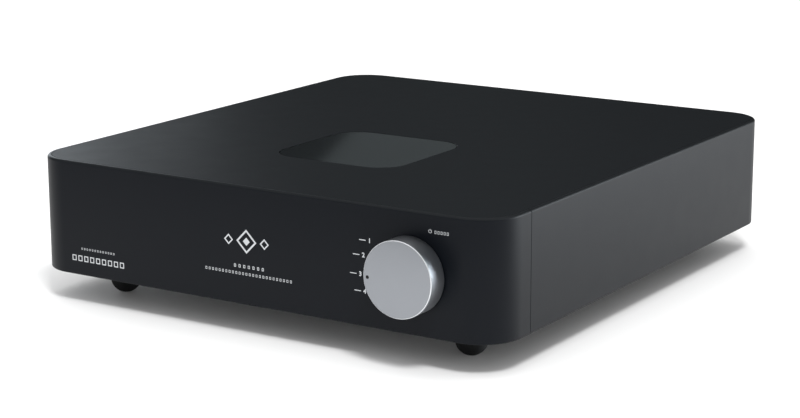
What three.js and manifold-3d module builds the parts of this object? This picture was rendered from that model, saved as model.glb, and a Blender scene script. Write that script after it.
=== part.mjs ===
// A desktop tube DAC, in millimetres: X to the right as seen from the front, Y to the back, Z up.
// The origin is on the table, below the middle of the box that holds the whole part.
import * as THREE from "three";
import { mergeVertices } from "three/addons/utils/BufferGeometryUtils.js";
import Module from "manifold-3d";

const wasm = await Module();
wasm.setup();

// ---------------------------------------------------------------- driving dimensions
const WIDTH = 350;
const DEPTH = 380;
const BODY_HEIGHT = 74.5;
const FOOT_HEIGHT = 20;
const CORNER_RADIUS = 27;
const WALL = 4.5;
const LIP = 2.6; // the wall is rebated beside the lid, and this is what is left of it
const GAP = 0.3; // the clearance between two pieces that touch
const FRONT_PANEL_DEPTH = 38; // how far the front panel wraps round the sides
const SEAM_WIDTH = 0.5;
const PLATE = 2; // thickness of the top, bottom and rear plates
const LEDGE = 4; // width and height of the ledges that the plates rest on
const BOARD = 1.6; // thickness of a circuit board

const KNOB_RADIUS = 23.2;
const KNOB_PROUD = 16; // from the panel's face to the knob's face
const KNOB_X = 117.4;
const KNOB_ABOVE_UNDERSIDE = 36.8;
const KNOB_TRAVEL = 1; // how far the knob presses in
const INDEX_DOT_RADIUS = 20.2; // from the knob's axis to its index dot

const WINDOW_WIDTH = 95;
const WINDOW_DEPTH = 96;
const WINDOW_RADIUS = 20;
const WINDOW_AHEAD_OF_MIDDLE = 57;
const GLASS = 3;
const GLASS_MARGIN = 7.5; // the glass reaches this far past the opening on each side
const GLASS_RECESS = 0.2; // the middle of the glass is rebated, and stands this far below the lid

const FOOT_RADIUS = 10.2;
const FOOT_SOLE_RADIUS = 3;
const FOOT_INSET = 42; // from the body's sides to a foot's axis
const JACK_PROUD = 8.5; // from the rear face to the ends of the output jacks

// ---------------------------------------------------------------- places worked out from them
const FRONT = KNOB_PROUD - (DEPTH + KNOB_PROUD + JACK_PROUD) / 2;
const REAR = FRONT + DEPTH;
const MIDDLE = (FRONT + REAR) / 2;
const UNDERSIDE = FOOT_HEIGHT;
const TOP = UNDERSIDE + BODY_HEIGHT;
const SEAM = FRONT + FRONT_PANEL_DEPTH;
const KNOB_Z = UNDERSIDE + KNOB_ABOVE_UNDERSIDE;
const WINDOW_Y = MIDDLE - WINDOW_AHEAD_OF_MIDDLE;

const FLOOR_BOTTOM = UNDERSIDE + 0.5;
const FLOOR_TOP = FLOOR_BOTTOM + PLATE;
const LID_BOTTOM = TOP - PLATE;
const LOWER_LEDGE_TOP = FLOOR_TOP + GAP + LEDGE;
const UPPER_LEDGE_BOTTOM = LID_BOTTOM - GAP - LEDGE;
const PLATE_INSET = WALL + 0.5; // of the bottom plate, inside the walls

const REAR_PANEL_OUT = REAR - WALL - GAP; // the rear panel's outer face
const REAR_PANEL_IN = REAR_PANEL_OUT - PLATE;
const SOCKET_Z = UNDERSIDE + 37; // mains inlet, rocker and output jacks

// ---------------------------------------------------------------- materials
function finish(color, roughness, metalness) {
  return new THREE.MeshStandardMaterial({ color, roughness, metalness });
}
const blackAnodised = finish(0x1d1f21, 0.45, 0.3);
const blackPaint = finish(0x1b1d1f, 0.4, 0.1);
const silverAluminium = finish(0xa3a6aa, 0.35, 0.9);
const smokedGlass = finish(0x14171a, 0.05, 0.0);
const clearGlass = finish(0xd8e4e8, 0.05, 0.0);
const blackRubber = finish(0x101112, 0.85, 0.0);
const zincSteel = finish(0xb8bbbd, 0.4, 0.9);
const blackPlastic = finish(0x17181a, 0.5, 0.0);
const paleCeramic = finish(0xe6e2d6, 0.6, 0.0);
const circuitBoard = finish(0x12301f, 0.5, 0.0);
const windingTape = finish(0xc7912c, 0.5, 0.0);
const canSleeve = finish(0x1a2430, 0.45, 0.0);
const goldPlate = finish(0xd6a94a, 0.3, 1.0);
const whitePlastic = finish(0xe8e8e6, 0.5, 0.0);
const redPlastic = finish(0xb01818, 0.5, 0.0);
const greyCable = finish(0x8b8f94, 0.6, 0.0);
const blueCable = finish(0x223a5e, 0.6, 0.0);

// ---------------------------------------------------------------- making and joining solids
function solid(geometry) {
  const bare = geometry.clone();
  bare.deleteAttribute("normal");
  bare.deleteAttribute("uv");
  const merged = mergeVertices(bare, 1e-4);
  const mesh = new wasm.Mesh({
    numProp: 3,
    vertProperties: merged.attributes.position.array,
    triVerts: new Uint32Array(merged.index.array),
  });
  return new wasm.Manifold(mesh);
}

function geometryOf(manifold) {
  const mesh = manifold.getMesh();
  const geometry = new THREE.BufferGeometry();
  geometry.setAttribute("position", new THREE.BufferAttribute(mesh.vertProperties, 3));
  geometry.setIndex(new THREE.BufferAttribute(mesh.triVerts, 1));
  return geometry;
}

// Cuts every one of the other solids from the first.
function cut(body, ...tools) {
  return tools.reduce((left, tool) => left.subtract(tool), body);
}

function join(body, ...others) {
  return others.reduce((left, other) => left.add(other), body);
}

function block(x0, x1, y0, y1, z0, z1) {
  const box = new THREE.BoxGeometry(x1 - x0, y1 - y0, z1 - z0);
  return solid(box.translate((x0 + x1) / 2, (y0 + y1) / 2, (z0 + z1) / 2));
}

// A cylinder along one axis, from one place on it to another. The last two numbers are where that
// axis stands on the other two, in X, Y, Z order.
function rod(axis, radius, from, to, u, v, segments = 24) {
  const cylinder = new THREE.CylinderGeometry(radius, radius, to - from, segments);
  const middle = (from + to) / 2;
  if (axis === "x") return solid(cylinder.rotateZ(-Math.PI / 2).translate(middle, u, v));
  if (axis === "y") return solid(cylinder.translate(u, middle, v));
  return solid(cylinder.rotateX(Math.PI / 2).translate(u, v, middle));
}

function roundedRect(width, depth, radius, x = 0, y = 0) {
  const right = x + width / 2 - radius;
  const left = x - width / 2 + radius;
  const back = y + depth / 2 - radius;
  const front = y - depth / 2 + radius;
  const shape = new THREE.Shape();
  shape.absarc(right, front, radius, -Math.PI / 2, 0);
  shape.absarc(right, back, radius, 0, Math.PI / 2);
  shape.absarc(left, back, radius, Math.PI / 2, Math.PI);
  shape.absarc(left, front, radius, Math.PI, Math.PI * 1.5);
  return shape;
}

// A flat shape given thickness, from one height to another.
function slab(shape, bottom, top, curveSegments = 8) {
  const options = { depth: top - bottom, bevelEnabled: false, curveSegments };
  return solid(new THREE.ExtrudeGeometry(shape, options).translate(0, 0, bottom));
}

// A turned piece. Its profile is a list of [radius, height], from the axis out and back to the axis.
function turned(profile, segments) {
  const points = profile.map(([radius, height]) => new THREE.Vector2(radius, height));
  return new THREE.LatheGeometry(points, segments);
}

// A tube or strip of a given section along a smooth path of points.
function swept(section, points, steps) {
  const extrudePath = new THREE.CatmullRomCurve3(points.map((p) => new THREE.Vector3(...p)));
  const options = { steps, extrudePath, curveSegments: 3 };
  return solid(new THREE.ExtrudeGeometry(section, options));
}

const model = new THREE.Group();
model.name = "desktop_dac";

function add(name, shape, material) {
  const mesh = new THREE.Mesh(shape.isBufferGeometry ? shape : geometryOf(shape), material);
  mesh.name = name;
  model.add(mesh);
  return mesh;
}

// ---------------------------------------------------------------- the case
// The body's outline, drawn in by an inset on every side.
function outline(inset) {
  const width = WIDTH - 2 * inset;
  const depth = DEPTH - 2 * inset;
  return roundedRect(width, depth, CORNER_RADIUS - inset, 0, MIDDLE);
}

function ring(outerInset, innerInset, bottom, top) {
  return cut(slab(outline(outerInset), bottom, top), slab(outline(innerInset), bottom - 1, top + 1));
}

function caseWall() {
  const rebate = slab(outline(LIP), LID_BOTTOM - GAP, TOP + 1);
  const wall = cut(ring(0, WALL, UNDERSIDE, TOP), rebate);
  const lowerLedge = ring(1, WALL + LEDGE, FLOOR_TOP + GAP, LOWER_LEDGE_TOP);
  const upperLedge = ring(1, WALL + LEDGE, UPPER_LEDGE_BOTTOM, LID_BOTTOM - GAP);
  return join(wall, lowerLedge, upperLedge);
}

const HALF_SEAM = SEAM_WIDTH / 2;
const BUSHING_RADIUS = 4.5;
const OPENING_HALF_WIDTH = 146; // of the opening in the rear wall

const behindSeam = block(-WIDTH, WIDTH, SEAM - HALF_SEAM, REAR + 1, 0, TOP + 1);
const aheadOfSeam = block(-WIDTH, WIDTH, FRONT - 1, SEAM + HALF_SEAM, 0, TOP + 1);
const bushingHole = rod("y", BUSHING_RADIUS + GAP, FRONT - 1, FRONT + WALL + 1, KNOB_X, KNOB_Z);
const rearOpening = block(
  -OPENING_HALF_WIDTH,
  OPENING_HALF_WIDTH,
  REAR - WALL - 1,
  REAR + 1,
  LOWER_LEDGE_TOP + 1.5,
  UPPER_LEDGE_BOTTOM - 1.5,
);

add("front_panel", cut(caseWall(), behindSeam, bushingHole), blackAnodised);
add("rear_shell", cut(caseWall(), aheadOfSeam, rearOpening), blackAnodised);

// Splice plates join the front panel to the rear shell behind each seam.
const SPLICE = { thickness: 3, ahead: 9, behind: 17, holesAhead: 5, holesBehind: 9, holesApart: 36 };
const SCREW_HOLE = 1.6;
for (const [name, side] of [["splice_plate_left", -1], ["splice_plate_right", 1]]) {
  const outer = WIDTH / 2 - WALL - GAP;
  const [x0, x1] = [side * outer, side * (outer - SPLICE.thickness)].sort((a, b) => a - b);
  const [y0, y1] = [SEAM - SPLICE.ahead, SEAM + SPLICE.behind];
  const plate = block(x0, x1, y0, y1, LOWER_LEDGE_TOP + GAP, UPPER_LEDGE_BOTTOM - GAP);
  const middle = UNDERSIDE + BODY_HEIGHT / 2;
  const screwHoles = [SEAM - SPLICE.holesAhead, SEAM + SPLICE.holesBehind].flatMap((y) =>
    [-1, 1].map((up) =>
      rod("x", SCREW_HOLE, x0 - 1, x1 + 1, y, middle + (up * SPLICE.holesApart) / 2, 12),
    ),
  );
  add(name, cut(plate, ...screwHoles), zincSteel);
}

// The lid lies in the wall's rebate and on its upper ledge, with the window's opening in it.
const windowOpening = roundedRect(WINDOW_WIDTH, WINDOW_DEPTH, WINDOW_RADIUS, 0, WINDOW_Y);
const lid = cut(slab(outline(LIP + GAP), LID_BOTTOM, TOP), slab(windowOpening, LID_BOTTOM - 1, TOP + 1));
add("top_plate", lid, blackPaint);

// The window's outline, grown by a margin on every side.
function windowOutline(margin) {
  const [width, depth] = [WINDOW_WIDTH + 2 * margin, WINDOW_DEPTH + 2 * margin];
  return roundedRect(width, depth, WINDOW_RADIUS + margin, 0, WINDOW_Y);
}
const GLASS_TOP = LID_BOTTOM - GAP;
const GLASS_BOTTOM = GLASS_TOP - GLASS;
const FRAME_LIP = 1.8;
const paneEdge = slab(windowOutline(GLASS_MARGIN), GLASS_BOTTOM, GLASS_TOP);
const paneMiddle = slab(windowOutline(-GAP), GLASS_TOP - 1, TOP - GLASS_RECESS);
add("window_glass", join(paneEdge, paneMiddle), smokedGlass);
add(
  "window_frame",
  cut(
    slab(windowOutline(GLASS_MARGIN + 7), GLASS_BOTTOM - GAP - FRAME_LIP, GLASS_TOP),
    slab(windowOutline(GLASS_MARGIN + GAP), GLASS_BOTTOM - GAP, TOP),
    slab(windowOutline(1), GLASS_BOTTOM - 2 * FRAME_LIP, TOP),
  ),
  blackPlastic,
);

// ---------------------------------------------------------------- the bottom plate and its feet
const FOOT_X = WIDTH / 2 - FOOT_INSET;
const FEET = [
  ["front_left", -FOOT_X, FRONT + FOOT_INSET],
  ["front_right", FOOT_X, FRONT + FOOT_INSET],
  ["rear_left", -FOOT_X, REAR - FOOT_INSET],
  ["rear_right", FOOT_X, REAR - FOOT_INSET],
];
const SCREW_RADIUS = 2;

const TRANSFORMER = { x: -104, y: 92, outer: 46, hole: 15, height: 38 };
const TRANSFORMER_BOLT_RADIUS = 3;

// The boards stand on bosses that are pressed into the bottom plate.
const BOSS_RADIUS = 3.5;
const TUBE_BOARD = { x0: -45, x1: 45, y0: WINDOW_Y - 32, y1: WINDOW_Y + 32, z: FLOOR_TOP + 4.3 };
const POWER_BOARD = { x0: -158, x1: -62, y0: -95, y1: 28, z: FLOOR_TOP + 8.3 };
const DAC_BOARD = { x0: 2, x1: 152, y0: 84, y1: REAR_PANEL_IN - GAP, z: FLOOR_TOP + 8.3 };
const BOARDS = [TUBE_BOARD, POWER_BOARD, DAC_BOARD];

function fixings(board, inset = 6) {
  const xs = [board.x0 + inset, board.x1 - inset];
  const ys = [board.y0 + inset, board.y1 - inset];
  return xs.flatMap((x) => ys.map((y) => [x, y]));
}

// Cooling slots under the tubes and under the power supply.
const VENT = { length: 34, width: 3.4, pitch: 9, count: 5 };
function vents(x, y) {
  return Array.from({ length: VENT.count }, (_, i) => {
    const across = y + (i - (VENT.count - 1) / 2) * VENT.pitch;
    const slot = roundedRect(VENT.length, VENT.width, VENT.width / 2 - 0.01, x, across);
    return slab(slot, FLOOR_BOTTOM - 1, FLOOR_TOP + 1, 2);
  });
}

const bosses = BOARDS.flatMap((board) =>
  fixings(board).map(([x, y]) => rod("z", BOSS_RADIUS, FLOOR_TOP - 0.5, board.z - GAP, x, y, 8)),
);
const footHoles = FEET.map(([, x, y]) =>
  rod("z", SCREW_RADIUS + GAP, FLOOR_BOTTOM - 1, FLOOR_TOP + 1, x, y, 16),
);
const boltHole = rod("z", 6 + GAP, FLOOR_BOTTOM - 1, FLOOR_TOP + 1, TRANSFORMER.x, TRANSFORMER.y);
add(
  "bottom_plate",
  cut(
    join(slab(outline(PLATE_INSET), FLOOR_BOTTOM, FLOOR_TOP), ...bosses),
    ...footHoles,
    boltHole,
    ...vents(0, WINDOW_Y),
    ...vents(-110, -34),
  ),
  blackPaint,
);

// A foot is a rubber dome with a small flat sole, and a blind hole for the screw from inside the case.
function footProfile() {
  const steps = 6;
  const start = Math.asin(FOOT_SOLE_RADIUS / FOOT_RADIUS);
  const centre = FOOT_RADIUS * Math.cos(start);
  const dome = Array.from({ length: steps + 1 }, (_, i) => {
    const angle = start + ((Math.PI / 2 - start) * i) / steps;
    return [FOOT_RADIUS * Math.sin(angle), centre - FOOT_RADIUS * Math.cos(angle)];
  });
  const top = FLOOR_BOTTOM - GAP;
  const hole = SCREW_RADIUS + GAP;
  return [[0, 0], ...dome, [FOOT_RADIUS, top], [hole, top], [hole, 8], [0, 8]];
}

for (const [corner, x, y] of FEET) {
  const foot = turned(footProfile(), 20).rotateX(Math.PI / 2);
  add(`foot_${corner}`, foot, blackRubber).position.set(x, y, 0);
  const head = rod("z", 3.8, FLOOR_TOP + GAP, FLOOR_TOP + GAP + 2.4, x, y, 16);
  const shank = rod("z", SCREW_RADIUS, 8 + GAP, FLOOR_TOP + GAP + 0.2, x, y, 16);
  add(`foot_screw_${corner}`, join(head, shank), zincSteel);
}

// ---------------------------------------------------------------- the source knob and its selector
const KNOB_SEGMENTS = 48;
const KNOB_CHAMFER = 0.9;
const SHAFT_RADIUS = 3;
const KNOB_BACK = -(KNOB_TRAVEL + 0.6); // places along the knob's axis count from the panel's face
const HUB_BACK = -5.8;
const BUSHING_FRONT = -4.3;
const SET_SCREW_AT = -8.8;

const knobProfile = [
  [0, -KNOB_PROUD],
  [KNOB_RADIUS - KNOB_CHAMFER, -KNOB_PROUD],
  [KNOB_RADIUS, KNOB_CHAMFER - KNOB_PROUD],
  [KNOB_RADIUS, KNOB_BACK],
  [KNOB_RADIUS - 3.4, KNOB_BACK],
  [KNOB_RADIUS - 3.4, -11.6],
  [7, -11.6],
  [7, HUB_BACK],
  [SHAFT_RADIUS + GAP, HUB_BACK],
  [SHAFT_RADIUS + GAP, -13],
  [0, -13],
];
const knobBlank = solid(turned(knobProfile, KNOB_SEGMENTS).translate(KNOB_X, FRONT, KNOB_Z));
const knobFace = FRONT - KNOB_PROUD;
const indexDot = rod("y", 1, knobFace - 1, knobFace + 0.8, KNOB_X - INDEX_DOT_RADIUS, KNOB_Z, 16);
const setScrewY = FRONT + SET_SCREW_AT;
const setScrewHole = rod("z", 1.8, KNOB_Z - KNOB_RADIUS - 1, KNOB_Z - 1, KNOB_X, setScrewY, 16);
add("source_knob", cut(knobBlank, indexDot, setScrewHole), silverAluminium);

const SHAFT_FLAT = 2.4; // from the shaft's axis to the flat that the set screw bears on
const setScrew = rod("z", 1.5, KNOB_Z - 6.8, KNOB_Z - SHAFT_FLAT - GAP, KNOB_X, setScrewY, 16);
const hexSocket = rod("z", 0.8, KNOB_Z - 7, KNOB_Z - 5.2, KNOB_X, setScrewY, 6);
add("knob_set_screw", cut(setScrew, hexSocket), zincSteel);

const SHAFT_END = 12;
const shaft = rod("y", SHAFT_RADIUS, FRONT - 12.7, FRONT + SHAFT_END, KNOB_X, KNOB_Z);
const shaftFlat = block(
  KNOB_X - 4,
  KNOB_X + 4,
  FRONT - 13,
  FRONT + HUB_BACK,
  KNOB_Z - 4,
  KNOB_Z - SHAFT_FLAT,
);
add("selector_shaft", cut(shaft, shaftFlat), zincSteel);

const nut = rod("y", 6.9, FRONT - 2.7, FRONT - GAP, KNOB_X, KNOB_Z, 6);
const nutHole = rod("y", BUSHING_RADIUS + GAP, FRONT - 4, FRONT + 1, KNOB_X, KNOB_Z);
add("selector_nut", cut(nut, nutHole), zincSteel);

const SELECTOR_HALF = 9;
const FLANGE_FRONT = FRONT + WALL + GAP;
function selectorBlock(from, to, half) {
  return block(KNOB_X - half, KNOB_X + half, from, to, KNOB_Z - half, KNOB_Z + half);
}
const shaftBore = rod("y", SHAFT_RADIUS + 0.4, FRONT - 20, FRONT + 40, KNOB_X, KNOB_Z);
const bushingTube = rod("y", BUSHING_RADIUS, FRONT + BUSHING_FRONT, FLANGE_FRONT + 1, KNOB_X, KNOB_Z);
const bushingFlange = selectorBlock(FLANGE_FRONT, FLANGE_FRONT + 1.5, SELECTOR_HALF - 0.5);
add("selector_bushing", cut(join(bushingTube, bushingFlange), shaftBore), zincSteel);

const SELECTOR_FRONT = FLANGE_FRONT + 1.5 + GAP;
const SELECTOR_BACK = FRONT + 17;
const selector = selectorBlock(SELECTOR_FRONT, SELECTOR_BACK, SELECTOR_HALF);
add("selector_body", cut(selector, shaftBore), blackPlastic);

// The plunger is pushed by the shaft and doesn't turn with it.
const PLUNGER_FRONT = FRONT + SHAFT_END + GAP;
add("push_plunger", rod("y", 2.8, PLUNGER_FRONT, PLUNGER_FRONT + 3.2, KNOB_X, KNOB_Z), whitePlastic);

const FRONT_BOARD_AT = SELECTOR_BACK + GAP;
const frontBoard = block(
  KNOB_X - 34,
  KNOB_X + 30,
  FRONT_BOARD_AT,
  FRONT_BOARD_AT + BOARD,
  KNOB_Z - 23,
  KNOB_Z + 23,
);
const frontBoardHoles = [-28, 24].flatMap((dx) =>
  [-17, 17].map((dz) =>
    rod("y", 1.6, FRONT_BOARD_AT - 1, FRONT_BOARD_AT + BOARD + 1, KNOB_X + dx, KNOB_Z + dz, 12),
  ),
);
add("front_board", cut(frontBoard, ...frontBoardHoles), circuitBoard);

// ---------------------------------------------------------------- the boards and what stands on them
function boardPlate(board) {
  const plate = block(board.x0, board.x1, board.y0, board.y1, board.z, board.z + BOARD);
  const holes = fixings(board).map(([x, y]) =>
    rod("z", 1.6, board.z - 1, board.z + BOARD + 1, x, y, 12),
  );
  return cut(plate, ...holes);
}
add("tube_board", boardPlate(TUBE_BOARD), circuitBoard);
add("power_board", boardPlate(POWER_BOARD), circuitBoard);
add("dac_board", boardPlate(DAC_BOARD), circuitBoard);

// Two small-signal tubes stand in ceramic sockets below the window.
const TUBE_X = 22;
const SOCKET_BOTTOM = TUBE_BOARD.z + BOARD + GAP;
const SOCKET_HEIGHT = 7.5;
const TUBE_BOTTOM = SOCKET_BOTTOM + SOCKET_HEIGHT + GAP;
const TUBE_RADIUS = 10.4;
const TUBE_HEIGHT = 49;

// The bulb: a flat button base, a straight wall, a round shoulder and the sealing tip.
function bulbProfile() {
  const shoulder = TUBE_HEIGHT - 10;
  const arc = Array.from({ length: 4 }, (_, i) => {
    const angle = (i / 4) * (Math.PI / 2);
    return [TUBE_RADIUS * Math.cos(angle), shoulder + 6 * Math.sin(angle)];
  });
  const tip = [[2.2, shoulder + 6.4], [1.4, TUBE_HEIGHT - 1], [0, TUBE_HEIGHT]];
  return [[0, 0], [TUBE_RADIUS - 0.8, 0], [TUBE_RADIUS, 1.2], ...arc, ...tip];
}

for (const [side, x] of [["left", -TUBE_X], ["right", TUBE_X]]) {
  const socket = rod("z", 11, SOCKET_BOTTOM, SOCKET_BOTTOM + SOCKET_HEIGHT, x, WINDOW_Y, 32);
  const bore = rod("z", 2.6, SOCKET_BOTTOM - 1, SOCKET_BOTTOM + SOCKET_HEIGHT + 1, x, WINDOW_Y, 16);
  add(`tube_socket_${side}`, cut(socket, bore), paleCeramic);
  const bulb = turned(bulbProfile(), 24).rotateX(Math.PI / 2);
  add(`signal_tube_${side}`, bulb, clearGlass).position.set(x, WINDOW_Y, TUBE_BOTTOM);
}

// Smoothing capacitors and the regulators' heatsink on the power board.
const CAN = { radius: 11, height: 36 };
const CAN_BOTTOM = POWER_BOARD.z + BOARD + GAP;
for (const [name, x, y] of [["smoothing_capacitor_1", -140, -74], ["smoothing_capacitor_2", -112, -74]]) {
  add(name, rod("z", CAN.radius, CAN_BOTTOM, CAN_BOTTOM + CAN.height, x, y, 32), canSleeve);
}

const SINK = { x0: -150, x1: -72, y: 8, base: 3, fin: 11, thickness: 1.6, count: 10, height: 30 };
function heatsink() {
  const top = CAN_BOTTOM + SINK.height;
  const base = block(SINK.x0, SINK.x1, SINK.y, SINK.y + SINK.base, CAN_BOTTOM, top);
  const pitch = (SINK.x1 - SINK.x0 - SINK.thickness) / (SINK.count - 1);
  const fins = Array.from({ length: SINK.count }, (_, i) => {
    const x = SINK.x0 + i * pitch;
    const back = SINK.y + SINK.base + SINK.fin;
    return block(x, x + SINK.thickness, SINK.y + 1, back, CAN_BOTTOM, top);
  });
  return join(base, ...fins);
}
add("regulator_heatsink", heatsink(), blackAnodised);

// ---------------------------------------------------------------- the mains transformer
function washer(outer, inner, bottom, top, segments = 40) {
  const disc = rod("z", outer, bottom, top, TRANSFORMER.x, TRANSFORMER.y, segments);
  return cut(disc, rod("z", inner, bottom - 1, top + 1, TRANSFORMER.x, TRANSFORMER.y));
}

// The wound ring has its edges rounded by the winding.
function windingProfile() {
  const { outer, hole, height } = TRANSFORMER;
  const edge = 6;
  const corners = [
    [outer - edge, edge, -90],
    [outer - edge, height - edge, 0],
    [hole + edge, height - edge, 90],
    [hole + edge, edge, 180],
  ];
  const points = corners.flatMap(([radius, z, start]) =>
    [0, 45, 90].map((turn) => {
      const angle = THREE.MathUtils.degToRad(start + turn);
      return [radius + edge * Math.cos(angle), z + edge * Math.sin(angle)];
    }),
  );
  return [...points, points[0]];
}

const PAD = 2;
const CLAMP = 2;
const BOLT_CLEARANCE = TRANSFORMER_BOLT_RADIUS + GAP;
const PAD_BOTTOM = FLOOR_TOP + GAP;
const WINDING_BOTTOM = PAD_BOTTOM + PAD + GAP;
const CLAMP_BOTTOM = WINDING_BOTTOM + TRANSFORMER.height + GAP;
const NUT_BOTTOM = CLAMP_BOTTOM + CLAMP + GAP;
const BOLT_TOP = CLAMP_BOTTOM + 9;
add("transformer_pad", washer(44, BOLT_CLEARANCE, PAD_BOTTOM, PAD_BOTTOM + PAD), blackRubber);
const winding = turned(windingProfile(), 36).rotateX(Math.PI / 2);
add("mains_transformer", winding, windingTape).position.set(TRANSFORMER.x, TRANSFORMER.y, WINDING_BOTTOM);
add("transformer_clamp", washer(32, BOLT_CLEARANCE, CLAMP_BOTTOM, CLAMP_BOTTOM + CLAMP), zincSteel);

function onTransformerAxis(radius, bottom, top, segments) {
  return rod("z", radius, bottom, top, TRANSFORMER.x, TRANSFORMER.y, segments);
}
const boltShank = onTransformerAxis(TRANSFORMER_BOLT_RADIUS, FLOOR_BOTTOM, BOLT_TOP, 20);
const boltHead = onTransformerAxis(6, FLOOR_BOTTOM, FLOOR_TOP, 24);
add("transformer_bolt", join(boltShank, boltHead), zincSteel);
const hexNut = onTransformerAxis(5.8, NUT_BOTTOM, NUT_BOTTOM + 4.7, 6);
add("transformer_nut", cut(hexNut, onTransformerAxis(BOLT_CLEARANCE, 0, TOP, 20)), zincSteel);

// ---------------------------------------------------------------- the rear panel
const INLET = { x: -118, flangeWidth: 50, flangeHeight: 32, bodyWidth: 28, bodyHeight: 30, depth: 29 };
const ROCKER = { x: -78, flangeWidth: 16.4, flangeHeight: 21.4, bodyWidth: 14, bodyHeight: 19.4 };
const USB = { x: 20, width: 12, height: 10.8 };
const OPTICAL = { xs: [42, 62], size: 9.8 };
const COAX_X = 84;
const OUTPUTS = [["right", 112], ["left", 138]];
const JACK = { thread: 4, collar: 4.15, bore: 3.4, flange: 6.5 };
const ON_BOARD = DAC_BOARD.z + BOARD + GAP; // where the sockets sit on the converter board
const COAX_Z = ON_BOARD + 9;

function throughPanel(x, z, width, height, slack = 0.4) {
  const halfWidth = width / 2 + slack;
  const halfHeight = height / 2 + slack;
  const [y0, y1] = [REAR_PANEL_IN - 1, REAR_PANEL_OUT + 1];
  return block(x - halfWidth, x + halfWidth, y0, y1, z - halfHeight, z + halfHeight);
}
function roundThroughPanel(x, z, radius) {
  return rod("y", radius, REAR_PANEL_IN - 1, REAR_PANEL_OUT + 1, x, z);
}

const REAR_PANEL_HALF = 151;
const rearPlate = block(
  -REAR_PANEL_HALF,
  REAR_PANEL_HALF,
  REAR_PANEL_IN,
  REAR_PANEL_OUT,
  LOWER_LEDGE_TOP + GAP,
  UPPER_LEDGE_BOTTOM - GAP,
);
const rearCuts = [
  throughPanel(INLET.x, SOCKET_Z, INLET.bodyWidth, INLET.bodyHeight),
  throughPanel(ROCKER.x, SOCKET_Z, ROCKER.bodyWidth, ROCKER.bodyHeight),
  throughPanel(USB.x, ON_BOARD + USB.height / 2, USB.width, USB.height),
  ...OPTICAL.xs.map((x) => throughPanel(x, ON_BOARD + OPTICAL.size / 2, OPTICAL.size, OPTICAL.size)),
  roundThroughPanel(COAX_X, COAX_Z, JACK.thread + 0.4),
  ...OUTPUTS.map(([, x]) => roundThroughPanel(x, SOCKET_Z, JACK.thread + 0.4)),
  ...[-20, 20].map((dx) => roundThroughPanel(INLET.x + dx, SOCKET_Z, SCREW_HOLE)),
];
add("rear_panel", cut(rearPlate, ...rearCuts), blackAnodised);

// ---------------------------------------------------------------- the mains inlet and its fuse drawer
const FACE = REAR_PANEL_OUT + GAP; // where flanges lie on the rear panel
const INLET_FACE = FACE + 2.5;
const PLUG_Z = SOCKET_Z + 4.5;
const DRAWER = { z: SOCKET_Z - 9.8, width: 22, height: 6.4, back: INLET_FACE - 24 };

function centred(x, z, width, height, y0, y1) {
  return block(x - width / 2, x + width / 2, y0, y1, z - height / 2, z + height / 2);
}
const inletFlange = centred(INLET.x, SOCKET_Z, INLET.flangeWidth, INLET.flangeHeight, FACE, INLET_FACE);
const inletBody = centred(
  INLET.x,
  SOCKET_Z,
  INLET.bodyWidth,
  INLET.bodyHeight,
  INLET_FACE - INLET.depth,
  FACE + 1,
);
const plugSpace = centred(INLET.x, PLUG_Z, 24.4, 16, INLET_FACE - 16, INLET_FACE + 1);
const drawerSpace = centred(
  INLET.x,
  DRAWER.z,
  DRAWER.width + 2 * GAP,
  DRAWER.height + 2 * GAP,
  DRAWER.back - GAP,
  INLET_FACE + 1,
);
const earHoles = [-20, 20].map((dx) =>
  rod("y", SCREW_HOLE, FACE - 1, INLET_FACE + 1, INLET.x + dx, SOCKET_Z, 12),
);
const blades = [[-7, -2], [7, -2], [0, 2]].map(([dx, dz]) =>
  centred(INLET.x + dx, PLUG_Z + dz, 2, 4, INLET_FACE - 17, INLET_FACE - 2),
);
add(
  "mains_inlet",
  join(cut(join(inletFlange, inletBody), plugSpace, drawerSpace, ...earHoles), ...blades),
  blackPlastic,
);

const drawer = centred(INLET.x, DRAWER.z, DRAWER.width, DRAWER.height, DRAWER.back, INLET_FACE + 0.8);
const drawerGrip = centred(INLET.x, DRAWER.z - 2.6, 8, 1.6, INLET_FACE - 0.6, INLET_FACE + 2);
const fusePocket = centred(INLET.x, DRAWER.z + 1, 5.6, 6.8, DRAWER.back + 1.2, INLET_FACE - 1.8);
add("fuse_drawer", cut(drawer, drawerGrip, fusePocket), blackPlastic);
const FUSE = { radius: 2.4, length: 20 };
const fuseBack = DRAWER.back + 1.7;
const fuse = rod("y", FUSE.radius, fuseBack, fuseBack + FUSE.length, INLET.x, DRAWER.z + 0.4);
add("mains_fuse", fuse, clearGlass);

// ---------------------------------------------------------------- the power rocker
const ROCKER_PIVOT = FACE - 0.35;
const ROCKER_TILT = 8; // degrees either side of level; it rests with its lower half pressed
const ROCKER_ARC = 8.4;
const ROCKER_HALF_WIDTH = 5.3;

function onRocker(width, height, y0, y1) {
  return centred(ROCKER.x, SOCKET_Z, width, height, y0, y1);
}
const HOUSING_DEPTH = 17;
const housingFlange = onRocker(ROCKER.flangeWidth, ROCKER.flangeHeight, FACE, FACE + 1.8);
const housingBody = onRocker(ROCKER.bodyWidth, ROCKER.bodyHeight, FACE - HOUSING_DEPTH, FACE + 1);
const rockerWell = onRocker(11.2, 2 * ROCKER_ARC + 0.8, ROCKER_PIVOT - 4.4, FACE + 3);
const pivotHole = rod("x", 1.4, ROCKER.x - 6.4, ROCKER.x + 6.4, ROCKER_PIVOT, SOCKET_Z, 16);
add(
  "rocker_housing",
  cut(join(housingFlange, housingBody), rockerWell, pivotHole),
  blackPlastic,
);

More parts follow.
